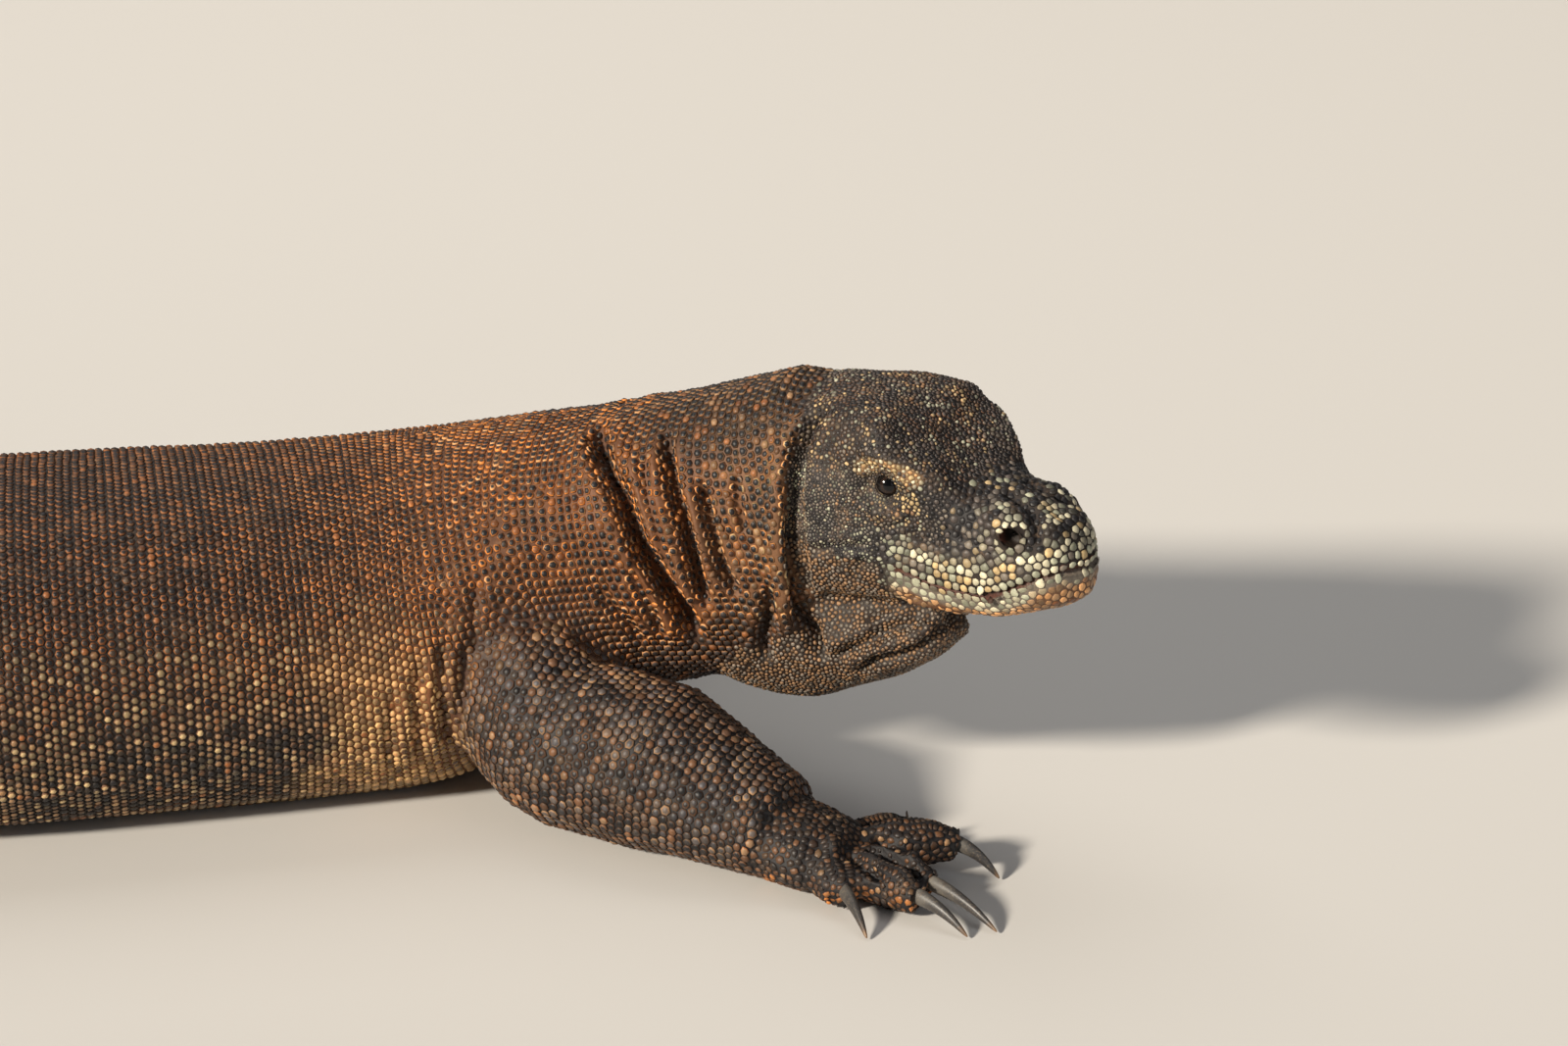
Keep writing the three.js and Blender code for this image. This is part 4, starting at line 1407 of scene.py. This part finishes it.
# scales on sharper edges than these are left out
sharpEdges = {"foot": 0.45, "neck": -0.1, "lip": 0.0, "limb": 0.1}
sharpest = np.array([sharpEdges.get(name, 0.22) for name in zoneNames])[kinds]
flatEnough = (normals[nearby[:, :5]] * normals[:, None]).sum(2).mean(1) > sharpest


def rowsOf(*names):
    return np.flatnonzero(np.isin(kinds, [zoneNames.index(n) for n in names]) & flatEnough)


# the coat's pieces: zones, dome, the line that it is unwrapped along, and slot
coatPlan = {
    "scales_snout": (("snout", "lip"), fineDome, headPath, "head_skin"),
    "scales_head": (("skull", "temple", "lid"), plainDome, headPath, "head_skin"),
    "scales_throat": (("throat",), plainDome, headPath, "neck_skin"),
    "scales_neck": (("neck",), plainDome, spine, "neck_skin"),
    "scales_trunk": (("trunk", "belly"), plainDome, spine, "body_skin"),
    "scales_tail": (("tail",), plainDome, spine, "body_skin"),
}
mostScales = 8900  # in one piece


def buildPieces(name, chosen, dome, path, slot):
    rootMap = unwrap(path, places[chosen])
    parts = math.ceil(len(chosen) * len(dome[1]) / (mostScales * len(plainDome[1])))
    order = np.argsort(rootMap[:, 0], kind="stable")
    for part, rows in enumerate(np.array_split(order, max(parts, 1))):
        label = name if parts < 2 else f"{name}_{part + 1}"
        yield buildScales(label, chosen[rows], dome, rootMap[rows], slot)


def buildCoat():
    pieces = []
    for name, (kindNames, *how) in coatPlan.items():
        pieces += buildPieces(name, rowsOf(*kindNames), *how)
    legs = rowsOf("limb", "foot")
    for name, (owned, path) in legPaths.items():
        chosen = legs[np.isin(owners[legs], allowedOwners(*owned))]
        pieces += buildPieces(f"scales_{name}_leg", chosen, packedDome, path, "limb_skin")
    return pieces


coatPieces = buildCoat()
print("coat pieces:", len(coatPieces), "faces", sum(len(p.data.polygons) for p in coatPieces))


# a shader socket that adds, takes away and multiplies
class Signal:
    def __init__(self, look, socket):
        self.look = look
        self.socket = socket

    def maths(self, operation, first, second):
        return self.look.node("ShaderNodeMath", {"operation": operation}, {0: first, 1: second})

    def __add__(self, other):
        return self.maths("ADD", self, other)

    __radd__ = __add__

    def __sub__(self, other):
        return self.maths("SUBTRACT", self, other)

    def __rsub__(self, other):
        return self.maths("SUBTRACT", other, self)

    def __mul__(self, other):
        return self.maths("MULTIPLY", self, other)

    __rmul__ = __mul__


class Look:
    def __init__(self, name, **fixed):
        self.material = bpy.data.materials.new(name)
        self.material.use_nodes = True
        self.tree = self.material.node_tree
        self.shader = self.tree.nodes["Principled BSDF"]
        self.surface(**fixed)
        self.place = self.node("ShaderNodeTexCoord", output="Object")

    def feed(self, socket, value):
        if isinstance(value, Signal):
            self.tree.links.new(value.socket, socket)
        elif np.ndim(value) and len(value) == 3 and socket.type == "RGBA":
            socket.default_value = (*value, 1)
        else:
            socket.default_value = value

    def node(self, kind, settings=None, inputs=None, output=0):
        made = self.tree.nodes.new(kind)
        for key, value in (settings or {}).items():
            setattr(made, key, value)
        for key, value in (inputs or {}).items():
            self.feed(made.inputs[key], value)
        return Signal(self, made.outputs[output])

    def surface(self, **inputs):
        for key, value in inputs.items():
            self.feed(self.shader.inputs[key.replace("_", " ")], value)

    def stored(self, name, output="Fac"):
        return self.node("ShaderNodeAttribute", {"attribute_name": name}, output=output)

    # even noise from 0 to 1, with features of about the given size in millimetres
    def noise(self, size, detail=2.0):
        inputs = {"Vector": self.place, "Scale": 1000 / size, "Detail": detail, "Roughness": 0.55}
        return self.node("ShaderNodeTexNoise", {}, inputs, "Fac")

    # 0 below low and 1 above high
    def step(self, value, low, high):
        inputs = {"Value": value, "From Min": low, "From Max": high}
        return self.node("ShaderNodeMapRange", {"interpolation_type": "SMOOTHSTEP"}, inputs)

    def mix(self, first, second, share, blend="MIX"):
        settings = {"data_type": "RGBA", "blend_type": blend}
        return self.node("ShaderNodeMix", settings, {0: share, 6: first, 7: second}, 2)

    def bump(self, height, depth, strength=1.0):
        inputs = {"Height": height, "Distance": depth, "Strength": strength}
        return self.node("ShaderNodeBump", {}, inputs, "Normal")


# skin and scales: the colours come with the mesh, in the gaps, on the rims and on the crowns
hideSet = {
    "shine": 0.42,
    "grain": 0.55,  # sizes in millimetres
    "spots": 2.6,
    "wear": 16,
    "rim": (0.12, 0.42),  # where the gap's colour turns into the rim's
    "crownBlend": 0.10,
    "dust": (150, 120, 92),
    "dustShare": 0.34,
    "roughness": 0.64,
    "relief": (0.5 * mm, 0.55),
}


def hideLook():
    look = Look("hide", Specular_IOR_Level=hideSet["shine"])
    grain = look.noise(hideSet["grain"], 3)
    spots = look.noise(hideSet["spots"], 3)
    wear = look.noise(hideSet["wear"], 4)
    height = look.stored("rise") + (spots - 0.5) * 0.34
    edge = look.stored("crownEdge")
    onRim = look.step(height, *hideSet["rim"])
    onCrown = look.step(height, edge - hideSet["crownBlend"], edge + hideSet["crownBlend"])
    colour = look.mix(look.stored("gapTint", "Color"), look.stored("rimTint", "Color"), onRim)
    colour = look.mix(colour, look.stored("crownTint", "Color"), onCrown)
    dusty = look.step(wear, 0.52, 0.74) * look.step(spots, 0.42, 0.62) * hideSet["dustShare"]
    colour = look.mix(colour, tint(*hideSet["dust"]), dusty)
    shade = 0.46 + spots * 0.84 + (grain - 0.5) * 0.7
    grey = look.node("ShaderNodeCombineColor", {}, {"Red": shade, "Green": shade, "Blue": shade})
    colour = look.mix(colour, grey, 1.0, "MULTIPLY")
    roughness = hideSet["roughness"] - onCrown * 0.2 + dusty * 0.4 + (grain - 0.5) * 0.2
    normal = look.bump(grain * 0.6 + spots * 0.8, *hideSet["relief"])
    look.surface(Base_Color=colour, Roughness=roughness, Normal=normal)
    return look.material


def eyeLook():
    look = Look("eye", Coat_Weight=0.4, Coat_Roughness=0.03, Specular_IOR_Level=0.2)
    away = look.stored("fromSight") + (look.noise(1.2, 3) - 0.5) * 0.05
    strands = look.noise(0.5, 2)
    iris = look.mix(tint(44, 28, 18), tint(20, 13, 10), look.step(strands, 0.35, 0.65))
    colour = look.mix(tint(3, 3, 4), iris, look.step(away, 0.42, 0.48))
    colour = look.mix(colour, tint(12, 9, 8), look.step(away, 0.62, 0.74))
    look.surface(Base_Color=colour, Roughness=0.12 + strands * 0.08)
    return look.material


def clawLook():
    look = Look("claw", Coat_Weight=0.15, Coat_Roughness=0.3)
    along = look.stored("fromRoot")
    streaks = look.noise(1.1, 3)
    wear = look.noise(7, 4)
    horn = look.mix(tint(92, 88, 82), tint(44, 42, 42), look.step(along + (wear - 0.5) * 0.5, 0.05, 0.5))
    horn = look.mix(horn, tint(126, 112, 92), look.step(streaks, 0.5, 0.75) * 0.55)
    horn = look.mix(horn, tint(134, 100, 66), look.step(along + (wear - 0.5) * 0.3, 0.82, 1.02) * 0.7)
    horn = look.mix(horn, tint(70, 52, 38), look.step(wear, 0.56, 0.72) * 0.5)
    look.surface(Base_Color=horn, Roughness=0.36 + streaks * 0.25,
                 Normal=look.bump(streaks * 0.7 + wear, 0.5 * mm, 0.45))
    return look.material


hide = hideLook()
addAttribute(skin, "rise", np.zeros(len(skin.vertices)))
addAttribute(skin, "crownEdge", np.full(len(skin.vertices), 0.7))
half = np.full(len(skin.vertices), 0.5)
addColours(skin, coloursOf(ground.points, ground.owners, half, None))
for piece in coatPieces + [skinPiece]:
    piece.data.materials.append(hide)
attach(skinPiece, "root")
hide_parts(*fleshNodes)
print("hide painted")


# eyeballs, turned to where they look
eyeSet = {"u_segments": 48, "v_segments": 32}


def buildEye(name, side, material):
    low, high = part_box(name)
    bm = bmesh.new()
    bmesh.ops.create_uvsphere(bm, **eyeSet, radius=(high - low).x / 2)
    bmesh.ops.translate(bm, verts=bm.verts, vec=(low + high) / 2)
    mesh = meshOf(name + "_ball", bm)
    mesh.shade_smooth()
    out = unit(readVectors(mesh, "co") - np.array((low + high) / 2))
    addAttribute(mesh, "fromSight", np.arccos(np.clip(out @ sightOf(side), -1, 1)))
    mesh.materials.append(material)
    piece = addObject(name + "_ball", mesh)
    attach(piece, "root")
    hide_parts(name)


eyeMaterial = eyeLook()
for name, side in zip(eyeNodes, (-1, 1)):
    buildEye(name, side, eyeMaterial)


# claws: the solids' own shape, rounded off
def buildClaw(name, material):
    bm = bmesh.new()
    bm.from_mesh(nodes[name].data)
    bmesh.ops.remove_doubles(bm, verts=bm.verts, dist=0.01 * mm)
    bmesh.ops.join_triangles(bm, faces=bm.faces, angle_face_threshold=math.radians(40),
                             angle_shape_threshold=math.radians(60))
    mesh = meshOf(name + "_horn", bm)
    points = readVectors(mesh, "co")
    foot = "_".join(name.split("_")[1:3]).replace("front", "hand").replace("hind", "foot")
    away = np.linalg.norm(points - np.array(boxCentre(foot)), axis=1)
    addAttribute(mesh, "fromRoot", (away - away.min()) / np.ptp(away))
    mesh.materials.append(material)
    mesh.shade_smooth()
    piece = addObject(name + "_horn", mesh)
    rounded = piece.modifiers.new("rounded", "SUBSURF")
    rounded.levels = rounded.render_levels = 2
    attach(piece, "root")
    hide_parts(name)


clawMaterial = clawLook()
for name in clawNodes:
    buildClaw(name, clawMaterial)
print("eyes and claws made")


# floor, light and camera
stageSet = {
    "floorSize": 30,
    "floorColour": (0.62, 0.60, 0.57),
    "lit": Vector((0.6, 0, 0.1)),
    "lights": {
        "key": ((-2.6, -2.8, 2.2), math.radians(7), 5.7, (1.0, 0.91, 0.78), "SUN"),
        "fill": ((3.2, -2.6, 2.0), 3.0, 26, (0.93, 0.95, 1.0)),
        "top": ((0.2, 1.8, 3.2), 3.0, 44, (1.0, 0.98, 0.95)),
    },
    "sky": (0.85, 0.86, 0.88, 1),
    "skyPower": 0.15,
}
cameraSet = {
    "raise": 22,  # degrees above level
    "distance": 5.0,
    "lens": 168.75,
    "eyeAcross": 71.3 * mm,  # the near eye's place right of the picture's middle
    "eyeAbove": 27 * mm,
}


def buildFloor():
    bm = bmesh.new()
    bmesh.ops.create_grid(bm, x_segments=1, y_segments=1, size=stageSet["floorSize"])
    floor = addObject("floor", meshOf("floor", bm))
    look = Look("floor", Base_Color=stageSet["floorColour"], Roughness=0.8)
    floor.data.materials.append(look.material)


def addLight(name, place, size, power, colour, kind="AREA"):
    light = bpy.data.lights.new(name, kind)
    setattr(light, "angle" if kind == "SUN" else "size", size)
    light.energy = power
    light.color = colour
    lamp = addObject(name, light)
    lamp.location = place
    lamp.rotation_euler = (stageSet["lit"] - Vector(place)).to_track_quat("-Z", "Y").to_euler()


def setStage():
    buildFloor()
    for name, how in stageSet["lights"].items():
        addLight(name, *how)
    world = bpy.data.worlds.new("studio")
    bpy.context.scene.world = world
    world.use_nodes = True
    sky = world.node_tree.nodes["Background"]
    sky.inputs["Color"].default_value = stageSet["sky"]
    sky.inputs["Strength"].default_value = stageSet["skyPower"]
    bpy.context.scene.view_settings.view_transform = "Standard"


def setCamera():
    tilt = math.radians(cameraSet["raise"])
    right = Vector((1, 0, 0))
    upward = Vector((0, math.sin(tilt), math.cos(tilt)))
    back = right.cross(upward)
    place = eyeCentres[0] - right * cameraSet["eyeAcross"] - upward * cameraSet["eyeAbove"]
    camera = bpy.data.cameras.new("camera")
    camera.lens = cameraSet["lens"]
    camera.sensor_width = 36
    camera.clip_end = 50
    view = addObject("camera", camera)
    view.location = place + back * cameraSet["distance"]
    view.rotation_euler = (math.pi / 2 - tilt, 0, 0)
    bpy.context.scene.camera = view


setStage()
setCamera()
